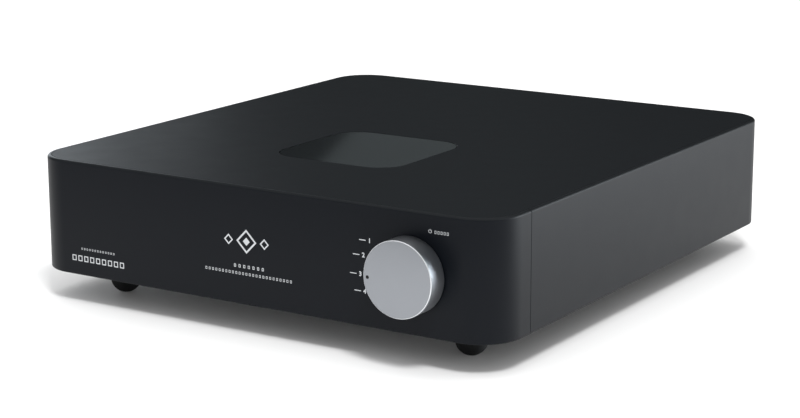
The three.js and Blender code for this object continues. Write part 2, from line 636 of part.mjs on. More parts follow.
// The rocker's side view: ends that are arcs about the pivot, and a face dished to its middle.
function rockerShape() {
  const shape = new THREE.Shape();
  const low = THREE.MathUtils.degToRad(-15);
  const high = THREE.MathUtils.degToRad(35);
  shape.absarc(0, 0, ROCKER_ARC, low, high);
  shape.lineTo(0, 2.6);
  shape.absarc(0, 0, ROCKER_ARC, Math.PI - high, Math.PI - low);
  return shape;
}
const rockerBar = slab(rockerShape(), -ROCKER_HALF_WIDTH, ROCKER_HALF_WIDTH, 5);
const rockerPin = rod("z", 1.1, -6.1, 6.1, 0, 0, 16);
const rocker = add("power_rocker", join(rockerBar, rockerPin), blackPlastic);
// Its own x runs up the panel, its own y out of it and its own z across it.
rocker.rotation.set(THREE.MathUtils.degToRad(-ROCKER_TILT), -Math.PI / 2, 0);
rocker.position.set(ROCKER.x, ROCKER_PIVOT, SOCKET_Z);

// ---------------------------------------------------------------- digital inputs on the converter board
const SOCKET_FACE = REAR_PANEL_OUT + 1.1;
function socketBlock(x, width, height, depth) {
  return centred(x, ON_BOARD + height / 2, width, height, SOCKET_FACE - depth, SOCKET_FACE);
}
const USB_Z = ON_BOARD + USB.height / 2;
const usbMouth = centred(USB.x, USB_Z, 8.5, 7.8, SOCKET_FACE - 9, SOCKET_FACE + 1);
const usbTongue = centred(USB.x, USB_Z + 0.6, 5.6, 3, SOCKET_FACE - 10, SOCKET_FACE - 0.6);
const usbShell = cut(socketBlock(USB.x, USB.width, USB.height, 16), usbMouth);
add("data_socket", join(usbShell, usbTongue), zincSteel);

// Each optical socket is closed by a shutter hung from its top edge, which a plug pushes inwards.
const SHUTTER = { size: 7.4, thickness: 0.8 };
const OPTICAL_MOUTH = 8.2;
const OPTICAL_Z = ON_BOARD + OPTICAL.size / 2;
const SHUTTER_Y = SOCKET_FACE - 3.5;
OPTICAL.xs.forEach((x, i) => {
  const shell = socketBlock(x, OPTICAL.size, OPTICAL.size, 14);
  const mouth = centred(x, OPTICAL_Z, OPTICAL_MOUTH, OPTICAL_MOUTH, SOCKET_FACE - 12.5, SOCKET_FACE + 1);
  add(`optical_socket_${i + 1}`, cut(shell, mouth), blackPlastic);
  const [y0, y1] = [SHUTTER_Y - SHUTTER.thickness / 2, SHUTTER_Y + SHUTTER.thickness / 2];
  const flap = centred(x, OPTICAL_Z - 0.05, SHUTTER.size, SHUTTER.size, y0, y1);
  add(`optical_shutter_${i + 1}`, flap, blackPlastic);
});

// ---------------------------------------------------------------- coaxial input and output jacks
const JACK_INSIDE = REAR_PANEL_IN - 13;
function jackShell(x, z, end) {
  const thread = rod("y", JACK.thread, JACK_INSIDE, end - 1, x, z);
  const collar = rod("y", JACK.collar, FACE, end, x, z);
  const flange = rod("y", JACK.flange, FACE, FACE + 2.2, x, z, 6);
  return cut(join(thread, collar, flange), rod("y", JACK.bore, JACK_INSIDE - 1, end + 1, x, z));
}
function jackInsert(x, z, end) {
  const core = rod("y", JACK.bore - GAP, JACK_INSIDE - 3, end - 1.2, x, z);
  return cut(core, rod("y", 1.65, end - 9, end, x, z, 16));
}
const JACK_END = REAR + JACK_PROUD;
add("coaxial_jack", jackShell(COAX_X, COAX_Z, JACK_END), goldPlate);
add("coaxial_insert", jackInsert(COAX_X, COAX_Z, JACK_END), blackPlastic);
for (const [side, x] of OUTPUTS) {
  add(`output_jack_${side}`, jackShell(x, SOCKET_Z, JACK_END), goldPlate);
  const colour = side === "right" ? redPlastic : whitePlastic;
  add(`output_insert_${side}`, jackInsert(x, SOCKET_Z, JACK_END), colour);
}

// ---------------------------------------------------------------- wiring inside the case
const RIBBON_X = 108;
const ribbonSection = new THREE.Shape([
  new THREE.Vector2(-8, -0.5),
  new THREE.Vector2(8, -0.5),
  new THREE.Vector2(8, 0.5),
  new THREE.Vector2(-8, 0.5),
]);
const ribbonStart = FRONT_BOARD_AT + BOARD + GAP;
const ribbonRoute = [
  [RIBBON_X, ribbonStart + 0.6, 44],
  [RIBBON_X, ribbonStart + 4, 38],
  [RIBBON_X, ribbonStart + 12, 30],
  [RIBBON_X, ribbonStart + 60, 27],
  [RIBBON_X, ribbonStart + 170, 27],
  [RIBBON_X, DAC_BOARD.y0 - 14, 31],
  [RIBBON_X, DAC_BOARD.y0 - 2, ON_BOARD + 4],
  [RIBBON_X, DAC_BOARD.y0 + 8, ON_BOARD + 4],
];
add("ribbon_cable", swept(ribbonSection, ribbonRoute, 32), greyCable);

function wireSection(radius) {
  const circle = new THREE.Shape();
  circle.absarc(0, 0, radius, 0, Math.PI * 2);
  return circle;
}
const inletBack = INLET_FACE - INLET.depth - GAP;
const mainsRoute = [
  [INLET.x + 6, inletBack - 2.5, SOCKET_Z + 6],
  [INLET.x + 14, inletBack - 4.5, SOCKET_Z + 14],
  [INLET.x + 28, inletBack - 2, SOCKET_Z + 16],
  [ROCKER.x - 3, inletBack + 3, SOCKET_Z + 9],
  [ROCKER.x, FACE - HOUSING_DEPTH - GAP - 2.2, SOCKET_Z + 2],
];
add("mains_wiring", swept(wireSection(1.8), mainsRoute, 24), blueCable);

const windingFront = TRANSFORMER.y - TRANSFORMER.outer - GAP;
const secondaryRoute = [
  [TRANSFORMER.x, windingFront - 2.2, 44],
  [TRANSFORMER.x + 2, windingFront - 6, 50],
  [TRANSFORMER.x + 10, windingFront - 12, 52],
  [TRANSFORMER.x + 38, windingFront - 14, 46],
  [TRANSFORMER.x + 40, windingFront - 20, 38],
];
add("secondary_wiring", swept(wireSection(1.8), secondaryRoute, 24), redPlastic);

export default model;
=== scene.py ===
# %% [markdown]
# # A desktop tube DAC
# A flat hi-fi box of black anodised aluminium stands on four rubber feet. A silver knob chooses the
# source, and a smoked window in the lid shows two small tubes. The machine's frame, its sizes and the
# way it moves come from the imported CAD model. This notebook builds the fine surfaces around that frame.

# %% Load the frame
import math

import bmesh
import bpy
from mathutils import Matrix, Vector


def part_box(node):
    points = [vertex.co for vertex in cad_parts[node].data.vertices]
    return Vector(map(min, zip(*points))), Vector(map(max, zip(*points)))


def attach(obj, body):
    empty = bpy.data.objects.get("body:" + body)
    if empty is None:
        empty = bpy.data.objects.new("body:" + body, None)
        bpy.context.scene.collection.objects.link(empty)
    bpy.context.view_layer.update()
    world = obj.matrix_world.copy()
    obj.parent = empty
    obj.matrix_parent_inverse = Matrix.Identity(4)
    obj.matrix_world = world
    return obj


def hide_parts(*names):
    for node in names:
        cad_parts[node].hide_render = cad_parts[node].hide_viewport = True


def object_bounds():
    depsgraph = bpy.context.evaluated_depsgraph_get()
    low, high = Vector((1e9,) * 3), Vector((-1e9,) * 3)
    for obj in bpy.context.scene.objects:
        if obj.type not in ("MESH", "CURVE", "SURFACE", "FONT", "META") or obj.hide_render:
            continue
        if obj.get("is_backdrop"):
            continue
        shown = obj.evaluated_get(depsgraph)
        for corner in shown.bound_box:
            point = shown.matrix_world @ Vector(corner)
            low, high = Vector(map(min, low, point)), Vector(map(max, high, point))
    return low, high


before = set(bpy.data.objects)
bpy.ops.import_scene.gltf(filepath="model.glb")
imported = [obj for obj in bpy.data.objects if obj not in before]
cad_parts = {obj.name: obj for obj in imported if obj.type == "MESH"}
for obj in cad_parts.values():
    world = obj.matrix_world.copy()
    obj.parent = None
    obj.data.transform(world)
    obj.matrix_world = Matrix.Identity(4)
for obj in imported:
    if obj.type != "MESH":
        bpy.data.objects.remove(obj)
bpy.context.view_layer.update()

# %% [markdown]
# Every place is read from the frame, so a piece lands where the CAD has it. Only what a box can't tell,
# such as a corner's radius, is written down again. Shapes are drawn in millimetres, and each point is
# turned to metres as it enters a mesh.

# %% Sizes of the case
MM = 0.001


def box(node):
    low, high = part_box(node)
    return low / MM, high / MM


def middle_of(node):
    low, high = box(node)
    return (low + high) / 2


front_low, front_high = box("front_panel")
shell_low, shell_high = box("rear_shell")
lid_low, lid_high = box("top_plate")
base_low, base_high = box("bottom_plate")
FRONT = front_low.y
REAR = shell_high.y
MIDDLE = (FRONT + REAR) / 2
HALF_WIDTH = front_high.x
UNDERSIDE = front_low.z
TOP = front_high.z
BASE_TOP = base_low.z + lid_high.z - lid_low.z
GAP = 0.3
CORNER = 27
CORNER_STEPS = 24
WALL = 4.5
LIP = 2.6
LEDGE = 4
print("body", round(2 * HALF_WIDTH, 1), round(REAR - FRONT, 1), round(TOP - UNDERSIDE, 1))

# %% [markdown]
# ## A bench for making meshes
# Blender's own primitives are too plain for a finished machine, and modifiers alone can't draw a ledge
# or a lip. So each piece is drawn as sections that are joined by faces, which is called a loft. One small
# class holds a piece while it is drawn, welds it, turns its faces outwards and puts it on its body.


# %% Outlines
def arc(radius, start, end, steps, u=0.0, v=0.0):
    """Points along part of a circle, both ends included. Angles are in degrees."""
    angles = [math.radians(start + (end - start) * i / steps) for i in range(steps + 1)]
    return [(u + radius * math.cos(a), v + radius * math.sin(a)) for a in angles]


def circle(radius, u, v, steps):
    return arc(radius, 0, 360, steps, u, v)[:-1]


def rod(radius, low, high):
    """The profile of a plain rod."""
    return [(0, low), (radius, low), (radius, high), (0, high)]


def soften(corners, steps=4):
    """A closed outline from corners (u, v, radius), each corner rounded by its own radius."""
    outline = []
    for i, (u, v, radius) in enumerate(corners):
        here = Vector((u, v))
        if radius == 0:
            outline.append((u, v))
            continue
        before = Vector(corners[i - 1][:2]) - here
        after = Vector(corners[(i + 1) % len(corners)][:2]) - here
        reach = min(radius, before.length * 0.49, after.length * 0.49)
        start = here + before.normalized() * reach
        end = here + after.normalized() * reach
        for step in range(steps + 1):
            t = step / steps
            outline.append(tuple(start * (1 - t) ** 2 + here * (2 * t * (1 - t)) + end * t**2))
    return outline


# %% [markdown]
# A loop is an outline as a function of how far it is grown, so one loop gives both a plate's edge and the
# bevel that is drawn in from it.


# %% Loops
def rounded(width, depth, radius, u=0.0, v=0.0, steps=12):
    """A rounded rectangle."""

    def outline(grow=0.0):
        r = max(radius + grow, 0.01)
        points = []
        for turn, (su, sv) in enumerate(((1, 1), (-1, 1), (-1, -1), (1, -1))):
            corner = (u + su * (width / 2 + grow - r), v + sv * (depth / 2 + grow - r))
            points += arc(r, 90 * turn, 90 * turn + 90, steps, *corner)
        return points

    return outline


def round_hole(radius, u=0.0, v=0.0, steps=32):
    return lambda grow=0.0: circle(radius + grow, u, v, steps)


def traced(points):
    """Any outline, drawn anticlockwise."""

    def outline(grow=0.0):
        moved = []
        for i, (u, v) in enumerate(points):
            along = (Vector(points[(i + 1) % len(points)]) - Vector(points[i - 1])).normalized()
            moved.append((u + along.y * grow, v - along.x * grow))
        return moved

    return outline


def cavity(corners, radius, u, v):
    """An outline round a centre, with all its corners rounded alike."""
    return traced([(u + a, v + b) for a, b in soften([(*corner, radius) for corner in corners], 2)])


def hexagon(across, u=0.0, v=0.0, turn=0.0):
    return traced(arc(across / 2, turn, turn + 360, 6, u, v)[:-1])


# %% The Piece class
AXES = {
    "z": lambda u, v, t: (u, v, t),
    "y": lambda u, v, t: (u, t, v),
    "x": lambda u, v, t: (t, u, v),
}


def linked(name, data):
    """A new object in the scene."""
    thing = bpy.data.objects.new(name, data)
    bpy.context.scene.collection.objects.link(thing)
    return thing


def made_plain(thing):
    """An object's mesh with its modifiers applied. The object itself is removed."""
    graph = bpy.context.evaluated_depsgraph_get()
    mesh = bpy.data.meshes.new_from_object(thing.evaluated_get(graph))
    bpy.data.objects.remove(thing)
    return mesh


def settle(name, mesh, slot=None, *replaces, body="chassis"):
    """Gives a finished mesh its object and its body, and hides the CAD nodes that it stands for. slot is
    not used.
    """
    piece = linked(name, mesh)
    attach(piece, body)
    if replaces:
        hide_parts(*replaces)
    print(f"{name}: {len(mesh.polygons)} faces on {body}")
    return piece


class Piece:
    """A mesh while it is being drawn. Each drawing call names which of the piece's finishes it wears."""

    def __init__(self, name, *finishes):
        self.name = name
        self.finishes = finishes
        self.bm = bmesh.new()
        self.welded = False

    def skin(self, sections, wrap, closed, wears):
        """Joins sections of equal length with faces. wrap joins the last to the first."""
        self.welded = False
        rows = [[self.bm.verts.new(Vector(p) * MM) for p in section] for section in sections]
        count = len(rows[0])
        for a, b in zip(rows, rows[1:] + rows[:wrap]):
            for i in range(count if closed else count - 1):
                j = (i + 1) % count
                self.bm.faces.new((a[i], a[j], b[j], b[i])).material_index = wears
        return rows

    def loft(self, sections, wrap=False, closed=True, caps=False, wears=0):
        """A skin over sections, with its two ends closed by caps if it has them."""
        rows = self.skin(sections, wrap, closed, wears)
        for row in (rows[0], rows[-1]) if caps else ():
            self.bm.faces.new(row).material_index = wears
        return self

    def turned(self, profile, centre=(0, 0, 0), axis="z", segments=48, closed=False, wears=0):
        """A lathe piece. Its profile holds (radius, height along the axis)."""
        sections = []
        for c, s in circle(1.0, 0.0, 0.0, segments):
            sections.append([Vector(centre) + Vector(AXES[axis](r * c, r * s, h)) for r, h in profile])
        return self.loft(sections, True, closed, wears=wears)

    def plate(self, loops, low, high, bevel, axis="z", wears=0):
        """A flat plate with holes. The first loop is its outline, and every edge gets a small bevel."""
        rims = ([], [])
        for number, loop in enumerate(loops):
            inward = bevel if number else -bevel
            levels = ((inward, low), (0.0, low + bevel), (0.0, high - bevel), (inward, high))
            sections = [[AXES[axis](u, v, t) for u, v in loop(grow)] for grow, t in levels]
            rows = self.skin(sections, False, True, wears)
            for rim, row in zip(rims, (rows[0], rows[-1])):
                rim += [self.bm.edges.get((a, b)) for a, b in zip(row, row[1:] + row[:1])]
        for rim in rims:
            for item in bmesh.ops.triangle_fill(self.bm, use_beauty=True, edges=rim)["geom"]:
                if isinstance(item, bmesh.types.BMFace):
                    item.material_index = wears
        return self

    def block(self, low, high, bevel=0.0, steps=2, wears=0):
        """A box with rounded edges."""
        self.welded = False
        low, high = Vector(low) * MM, Vector(high) * MM
        place = Matrix.LocRotScale((low + high) / 2, None, high - low)
        verts = bmesh.ops.create_cube(self.bm, size=1.0, matrix=place)["verts"]
        faces = {face for vert in verts for face in vert.link_faces}
        if bevel:
            edges = list({edge for vert in verts for edge in vert.link_edges})
            settings = {"offset": bevel * MM, "segments": steps, "profile": 0.5, "affect": "EDGES"}
            bevelled = bmesh.ops.bevel(self.bm, geom=edges, **settings)["faces"]
            faces = {face for face in faces if face.is_valid} | set(bevelled)
        for face in faces:
            face.material_index = wears
        return self

    def carved(self, *tools):
        """Takes the shapes of other drawings out of this one."""
        body = linked(self.name, self.mesh())
        cutters = [linked("cutter", tool.mesh()) for tool in tools]
        for cutter in cutters:
            cut = body.modifiers.new("cut", "BOOLEAN")
            cut.operation = "DIFFERENCE"
            cut.solver = "EXACT"
            cut.object = cutter
        self.bm = bmesh.new()
        self.bm.from_mesh(made_plain(body))
        self.welded = True
        for cutter in cutters:
            bpy.data.objects.remove(cutter)
        return self

    def mesh(self, smooth_below=35.0):
        """Welds the drawing, turns its faces outwards and marks its sharp edges."""
        if not self.welded:
            bmesh.ops.remove_doubles(self.bm, verts=self.bm.verts, dist=1e-6)
            bmesh.ops.recalc_face_normals(self.bm, faces=self.bm.faces)
        for face in self.bm.faces:
            face.smooth = True
        for edge in self.bm.edges:
            soft = edge.calc_face_angle(0.0) < math.radians(smooth_below)
            edge.smooth = soft and len(edge.link_faces) == 2
        mesh = bpy.data.meshes.new(self.name)
        self.bm.to_mesh(mesh)
        self.bm.free()
        for finish in self.finishes:
            mesh.materials.append(finish.material)
        return mesh

    def place(self, slot=None, *replaces, body="chassis", smooth_below=35.0):
        """Makes the object and puts it on its body."""
        return settle(self.name, self.mesh(smooth_below), slot, *replaces, body=body)


def flat(node, name, finish, loops, bevel, slot, axis="z"):
    """A plate as thick as the CAD node that it stands for."""
    low, high = (getattr(corner, axis) for corner in box(node))
    return Piece(name, finish).plate(loops, low, high, bevel, axis).place(slot, node)


# %% [markdown]
# ## Writing shaders as sums
# A node tree is hard to read as code. Here a Wire is a socket, and sums on wires add Math nodes, so a
# shader reads like a formula. A Finish is one material: its fixed values are set on the shader itself,
# and only what changes over the surface is wired in.


# %% The Wire and Tree classes
class Wire:
    """An output socket. Sums with numbers or other wires add Math nodes."""

    def __init__(self, tree, socket):
        self.tree = tree
        self.socket = socket

    def math(self, operation, other):
        node = self.tree.nodes.new("ShaderNodeMath")
        node.operation = operation
        plug(self.tree, node.inputs[0], self)
        plug(self.tree, node.inputs[1], other)
        return Wire(self.tree, node.outputs[0])

    def __add__(self, other):
        return self.math("ADD", other)

    def __mul__(self, other):
        return self.math("MULTIPLY", other)

    def __truediv__(self, other):
        return self.math("DIVIDE", other)

    def __pow__(self, other):
        return self.math("POWER", other)

    def above(self, level):
        return self.math("GREATER_THAN", level)


def plug(tree, slot, value):
    """Links a wire to a socket, or sets the socket's value."""
    if isinstance(value, Wire):
        tree.links.new(value.socket, slot)
    else:
        slot.default_value = value


class Tree:
    """A node tree that nodes are added to."""

    def node(self, kind, inputs=None, output=0, **settings):
        node = self.tree.nodes.new(kind)
        for key, value in settings.items():
            setattr(node, key, value)
        for socket, value in (inputs or {}).items():
            plug(self.tree, node.inputs[socket], value)
        return Wire(self.tree, node.outputs[output])


# %% The Finish class
def linear(colour):
    """A colour written as six hex digits, as linear light."""
    channels = [int(colour[i : i + 2], 16) / 255 for i in (0, 2, 4)]
    return [c / 12.92 if c <= 0.04045 else ((c + 0.055) / 1.055) ** 2.4 for c in channels]


class Finish(Tree):
    """One material. Fixed values are given by name, and wire() feeds a socket of the shader."""

    def __init__(self, name, colour, roughness, metallic=0.0, **fixed):
        self.material = bpy.data.materials.new(name)
        self.material.use_nodes = True
        self.tree = self.material.node_tree
        self.shader = self.tree.nodes["Principled BSDF"]
        self.colour = linear(colour)
        fixed.update(Base_Color=(*self.colour, 1.0), Roughness=roughness, Metallic=metallic)
        for label, value in fixed.items():
            self.wire(label.replace("_", " "), value)

    def wire(self, socket, value):
        plug(self.tree, self.shader.inputs[socket], value)

    def place(self, *origin):
        """Object coordinates, moved so that a point in millimetres is the origin."""
        here = self.node("ShaderNodeTexCoord", output="Object")
        shift = [-v * MM for v in origin or (0.0, 0.0, 0.0)]
        return self.node("ShaderNodeMapping", {"Vector": here, "Location": shift})

    def axes(self, vector):
        split = self.node("ShaderNodeSeparateXYZ", {0: vector}).socket.node
        return [Wire(self.tree, out) for out in split.outputs]

    def vector(self, **parts):
        return self.node("ShaderNodeCombineXYZ", parts)

    def noise(self, vector, scale, detail=2.0, roughness=0.5):
        settings = {"Vector": vector, "Scale": scale, "Detail": detail, "Roughness": roughness}
        return self.node("ShaderNodeTexNoise", settings)

    def blend(self, factor, first, second):
        """Mixes two colours into the base colour by a factor."""
        inputs = {"Factor": factor, 6: (*first, 1.0), 7: (*second, 1.0)}
        self.wire("Base Color", self.node("ShaderNodeMix", inputs, 2, data_type="RGBA"))

    def bump(self, height, distance):
        self.wire("Normal", self.node("ShaderNodeBump", {"Height": height, "Distance": distance}))

    def shades(self, factor, spread):
        """The base colour made lighter and darker by a spread, along a factor from 0 to 1."""
        dark = [c * (1 - spread) for c in self.colour]
        self.blend(factor, dark, [min(c * (1 + spread), 1.0) for c in self.colour])


def grained(name, colour, roughness, metallic=0.0, spread=0.1, grain=0.00001, size=0.3, **fixed):
    """A finish with a cloudy shade, a patchy gloss and a fine grain. size is the grain's in mm."""
    finish = Finish(name, colour, roughness, metallic, **fixed)
    where = finish.place()
    cloud = finish.noise(where, 55.0, 4.0)
    speck = finish.noise(where, 1 / (size * MM), 2.0, 0.6)
    finish.shades(cloud * 0.6 + speck * 0.4, spread)
    finish.wire("Roughness", cloud * 0.08 + speck * 0.06 + (roughness - 0.07))
    finish.bump(speck, grain)
    return finish


# %% [markdown]
# ## A bench for Geometry Nodes
# Screws, fins, pins and turns of tape repeat by a rule, and a rule is what Geometry Nodes are for. Each
# tree below has named inputs, ends by making its copies real and giving them a finish, and is turned into
# a plain mesh at once, so nothing live is left on a piece.


# %% The Growth class
KINDS = {"Prototype": "Object", "Finish": "Material", int: "Int", float: "Float", tuple: "Vector"}


class Growth(Tree):
    """A Geometry Nodes tree. Its inputs are given as name=default, and growth["name"] is their wire."""

    def __init__(self, name, **inputs):
        self.tree = bpy.data.node_groups.new(name, "GeometryNodeTree")
        face = self.tree.interface
        for way in ("INPUT", "OUTPUT"):
            face.new_socket("Geometry", in_out=way, socket_type="NodeSocketGeometry")
        self.keys = {}
        for label, value in inputs.items():
            kind = KINDS.get(label) or KINDS[type(value)]
            socket = face.new_socket(label, in_out="INPUT", socket_type=f"NodeSocket{kind}")
            if value is not None:
                socket.default_value = value
            self.keys[label] = socket.identifier
        self.entry = self.tree.nodes.new("NodeGroupInput")

    def __getitem__(self, label):
        return Wire(self.tree, self.entry.outputs[label])

    def on_guide(self, pattern):
        """The points of a pattern, set on every point of the guide."""
        inputs = {"Points": self["Geometry"], "Instance": pattern}
        placed = self.node("GeometryNodeInstanceOnPoints", inputs)
        return self.node("GeometryNodeRealizeInstances", {"Geometry": placed})

    def copy(self, points, turn):
        """Puts the prototype on every point, turned, and closes the tree."""
        shape = self.node("GeometryNodeObjectInfo", {"Object": self["Prototype"]}, "Geometry")
        inputs = {"Points": points, "Instance": shape, "Rotation": turn}
        self.close(self.node("GeometryNodeInstanceOnPoints", inputs))

    def close(self, geometry):
        real = self.node("GeometryNodeRealizeInstances", {"Geometry": geometry})
        worn = self.node("GeometryNodeSetMaterial", {"Geometry": real, "Material": self["Finish"]})
        plug(self.tree, self.tree.nodes.new("NodeGroupOutput").inputs[0], worn)

    def grow(self, name, points, edges=(), **values):
        """Runs the tree on points in millimetres and returns a plain mesh. Values are in metres."""
        guide = bpy.data.meshes.new("guide")
        guide.from_pydata([tuple(Vector(p) * MM) for p in points], edges, [])
        seat = linked(name, guide)
        modifier = seat.modifiers.new("grow", "NODES")
        modifier.node_group = self.tree
        for label, value in values.items():
            modifier[self.keys[label]] = value
        grown = made_plain(seat)
        grown.name = name
        return grown


POINTS = {"Prototype": None, "Finish": None, "Facing": (0.0, 0.0, 0.0), "Seed": 1}

# %% Copies on every point of the guide, each spun about its own Z by chance, then turned to face its way
on_points = Growth("copies_on_points", **POINTS, Spin=0.0)
inputs = {3: 1.0, "Seed": on_points["Seed"]}
chance = on_points.node("FunctionNodeRandomValue", inputs, 1, data_type="FLOAT")
spin = on_points.node("ShaderNodeCombineXYZ", {"Z": chance * on_points["Spin"]})
facing = on_points.node("FunctionNodeEulerToRotation", {0: on_points["Facing"]})
spun = on_points.node("FunctionNodeEulerToRotation", {0: spin})
inputs = {0: facing, 1: spun}
turn = on_points.node("FunctionNodeRotateRotation", inputs, rotation_space="LOCAL")
on_points.copy(on_points["Geometry"], turn)

# %% Copies in a row: Count of them, a Step apart
in_a_row = Growth("copies_in_a_row", **POINTS, Count=4, Step=(0.01, 0.0, 0.0))
inputs = {"Count": in_a_row["Count"], "Offset": in_a_row["Step"]}
row = in_a_row.node("GeometryNodeMeshLine", inputs, mode="OFFSET")
in_a_row.copy(in_a_row.on_guide(row), in_a_row["Facing"])

# %% Copies on a circle round the guide's point, each turned to its place on the circle
on_a_ring = Growth("copies_on_a_ring", **POINTS, Count=9, Radius=0.01)
count = on_a_ring["Count"]
inputs = {"Vertices": count, "Radius": on_a_ring["Radius"]}
ring = on_a_ring.node("GeometryNodeMeshCircle", inputs, fill_type="NONE")
share = on_a_ring.node("GeometryNodeInputIndex") * (2 * math.pi) / count
turn = on_a_ring.node("ShaderNodeCombineXYZ", {"Z": share})
on_a_ring.copy(on_a_ring.on_guide(ring), turn)

# %% A round wire along the edges of the guide
along_a_path = Growth("wire_along_a_path", Finish=None, Radius=0.001, Sides=12, Steps=60)
line = along_a_path.node("GeometryNodeMeshToCurve", {0: along_a_path["Geometry"]})
line = along_a_path.node("GeometryNodeCurveSplineType", {"Curve": line}, spline_type="CATMULL_ROM")
line = along_a_path.node("GeometryNodeResampleCurve", {"Curve": line, "Count": along_a_path["Steps"]})
inputs = {"Resolution": along_a_path["Sides"], "Radius": along_a_path["Radius"]}
section = along_a_path.node("GeometryNodeCurvePrimitiveCircle", inputs)
inputs = {"Curve": line, "Profile Curve": section, "Fill Caps": True}
tube = along_a_path.node("GeometryNodeCurveToMesh", inputs)
along_a_path.close(along_a_path.node("GeometryNodeSetShadeSmooth", {"Geometry": tube}))


# %% Growing pieces
def copies(tree, name, pattern, points, slot=None, *replaces, **values):
    """Grows copies of a drawn pattern, settles them and clears the pattern away."""
    finish = pattern.finishes[0].material
    shape = linked("prototype", pattern.mesh())
    grown = tree.grow(name, points, Prototype=shape, Finish=finish, **values)
    bpy.data.objects.remove(shape)
    return settle(name, grown, slot, *replaces)


def wires(name, runs, radius, finish, slot, *replaces, **values):
    """Grows round wires, each through its own run of points."""
    points = []
    edges = []
    for run in runs:
        edges += [(i, i + 1) for i in range(len(points), len(points) + len(run) - 1)]
        points += run
    values.update(Finish=finish.material, Radius=radius * MM)
    return settle(name, along_a_path.grow(name, points, edges, **values), slot, *replaces)


# %% [markdown]
# ## Finishes of the case
# The walls are bead-blasted and anodised: a very dark grey that is almost without gloss seen straight on,
# and silky at a low angle. Bead blasting leaves dimples of about a fifth of a millimetre, so the grain is
# a fine noise, and the shade wanders a little, as dye does in an anodising bath.

# %% Anodised walls and lid, and a lighter rim that paints the top edge's highlight
anodised = grained("anodised_black", "101318", 0.42, 0.0, 0.12, 0.000006, 0.22, Specular_IOR_Level=0.12)
lid_finish = grained("lid_black", "1e2022", 0.36, 0.0, 0.10, 0.000004, 0.2, Specular_IOR_Level=0.01)
# The rim is lighter than the walls: its colour is a painted highlight along the rounded top edge.
rim_highlight_finish = grained("rim_black_painted_highlight", "1f2123", 0.36, 0.0, 0.10, 0.000004, 0.2, Specular_IOR_Level=0.04)

# %% [markdown]
# ## The front panel and the rear shell
# One extruded wall runs round the machine. It is drawn once as a section, with the rounded outer edges,
# the lip beside the lid and the two ledges that hold the plates, and swept round two U-shaped plans that
# meet at a narrow seam. A sweep keeps the corners exactly round, which a bevelled box wouldn't.

# %% The wall's section
REBATE = lid_low.z - GAP
INNER = WALL + LEDGE
LOW_LEDGE = BASE_TOP + GAP
EDGE_TOP = 1.6
top_round = [(EDGE_TOP - c, TOP - EDGE_TOP + s, 0) for c, s in arc(EDGE_TOP, 0, 90, 6)]
upper_ledge = [(LIP, TOP, 0.1), (LIP, REBATE, 0), (INNER, REBATE, 0), (INNER, REBATE - LEDGE, 0)]
upper_ledge += [(WALL, REBATE - LEDGE, 0)]
lower_ledge = [(WALL, LOW_LEDGE + LEDGE, 0), (INNER, LOW_LEDGE + LEDGE, 0), (INNER, LOW_LEDGE, 0)]
lower_ledge += [(WALL, LOW_LEDGE, 0), (WALL, UNDERSIDE, 0.2)]
WALL_SECTION = soften([(0.0, UNDERSIDE, 0.9), *top_round, *upper_ledge, *lower_ledge])


# %% Walls
def u_wall(inset, open_y, far_y):
    """The plan of a U-shaped wall drawn in by an inset, from its right end round to its left."""
    toward = 1 if far_y > open_y else -1
    bend = arc(CORNER - inset, 0, 90, CORNER_STEPS, HALF_WIDTH - CORNER, -CORNER)
    right = [(HALF_WIDTH - inset, open_y)] + [(x, far_y + toward * y) for x, y in bend]
    return right + [(-x, y) for x, y in reversed(right)]


def wall(name, open_y, far_y):
    runs = [[(x, y, z) for x, y in u_wall(inset, open_y, far_y)] for inset, z in WALL_SECTION]
    piece = Piece(name, anodised, rim_highlight_finish).loft(list(zip(*runs)), caps=True)
    # The faces of the rounded top edge wear the lighter rim finish, a painted highlight along the edge.
    for face in piece.bm.faces:
        if face.calc_center_median().z > (TOP - 0.75 * EDGE_TOP) * MM:
            face.material_index = 1
    return piece


knob_low, knob_high = box("source_knob")
KNOB_X = (knob_low.x + knob_high.x) / 2
KNOB_Z = (knob_low.z + knob_high.z) / 2
AT_KNOB = (KNOB_X, KNOB_Z)
panel_low, panel_high = box("rear_panel")
PANEL_Z = (panel_low.z + panel_high.z) / 2
PANEL_HEIGHT = panel_high.z - panel_low.z
hole = Piece("hole").turned(rod(4.8, -WALL, 2 * WALL), (KNOB_X, FRONT, KNOB_Z), "y")
front = wall("wraparound_front", front_high.y, FRONT).carved(hole)
front.place("anodised_black", "front_panel")
opening = rounded(2 * 146, PANEL_HEIGHT - 3.6, 1.5, 0.0, PANEL_Z, 6)
opening_tool = Piece("opening").plate([opening], REAR - 2 * WALL, REAR + WALL, 0.1, "y")
shell = wall("side_and_rear_shell", shell_low.y, REAR).carved(opening_tool)
shell.place("anodised_black", "rear_shell")

# %% [markdown]
# ## The lid and its window
# The lid is one flat plate let into the rim, with a fine chamfer round its edge. A plate with holes is
# drawn as loops: each loop gets its bevel, and the flat faces are filled between the loops.

# %% Lid
glass_low, glass_high = box("window_glass")
WINDOW = (95, 96, 20)
WINDOW_Y = (glass_low.y + glass_high.y) / 2


def case_outline(inset):
    """The outline of a plate that stands in from the walls' outside by an inset."""
    size = (2 * (HALF_WIDTH - inset), REAR - FRONT - 2 * inset)
    return rounded(*size, CORNER - inset, 0.0, MIDDLE, CORNER_STEPS)


loops = [case_outline(HALF_WIDTH - lid_high.x), rounded(*WINDOW, 0.0, WINDOW_Y, CORNER_STEPS)]
flat("top_plate", "lid", lid_finish, loops, 0.15, "painted_black")


# %% Window glass, and the outline that its retainer shares
def window_rings(steps):
    """The window's outline at each step of (margin, height)."""
    return [[(u, v, z) for u, v in rounded(*WINDOW, 0.0, WINDOW_Y)(margin)] for margin, z in steps]


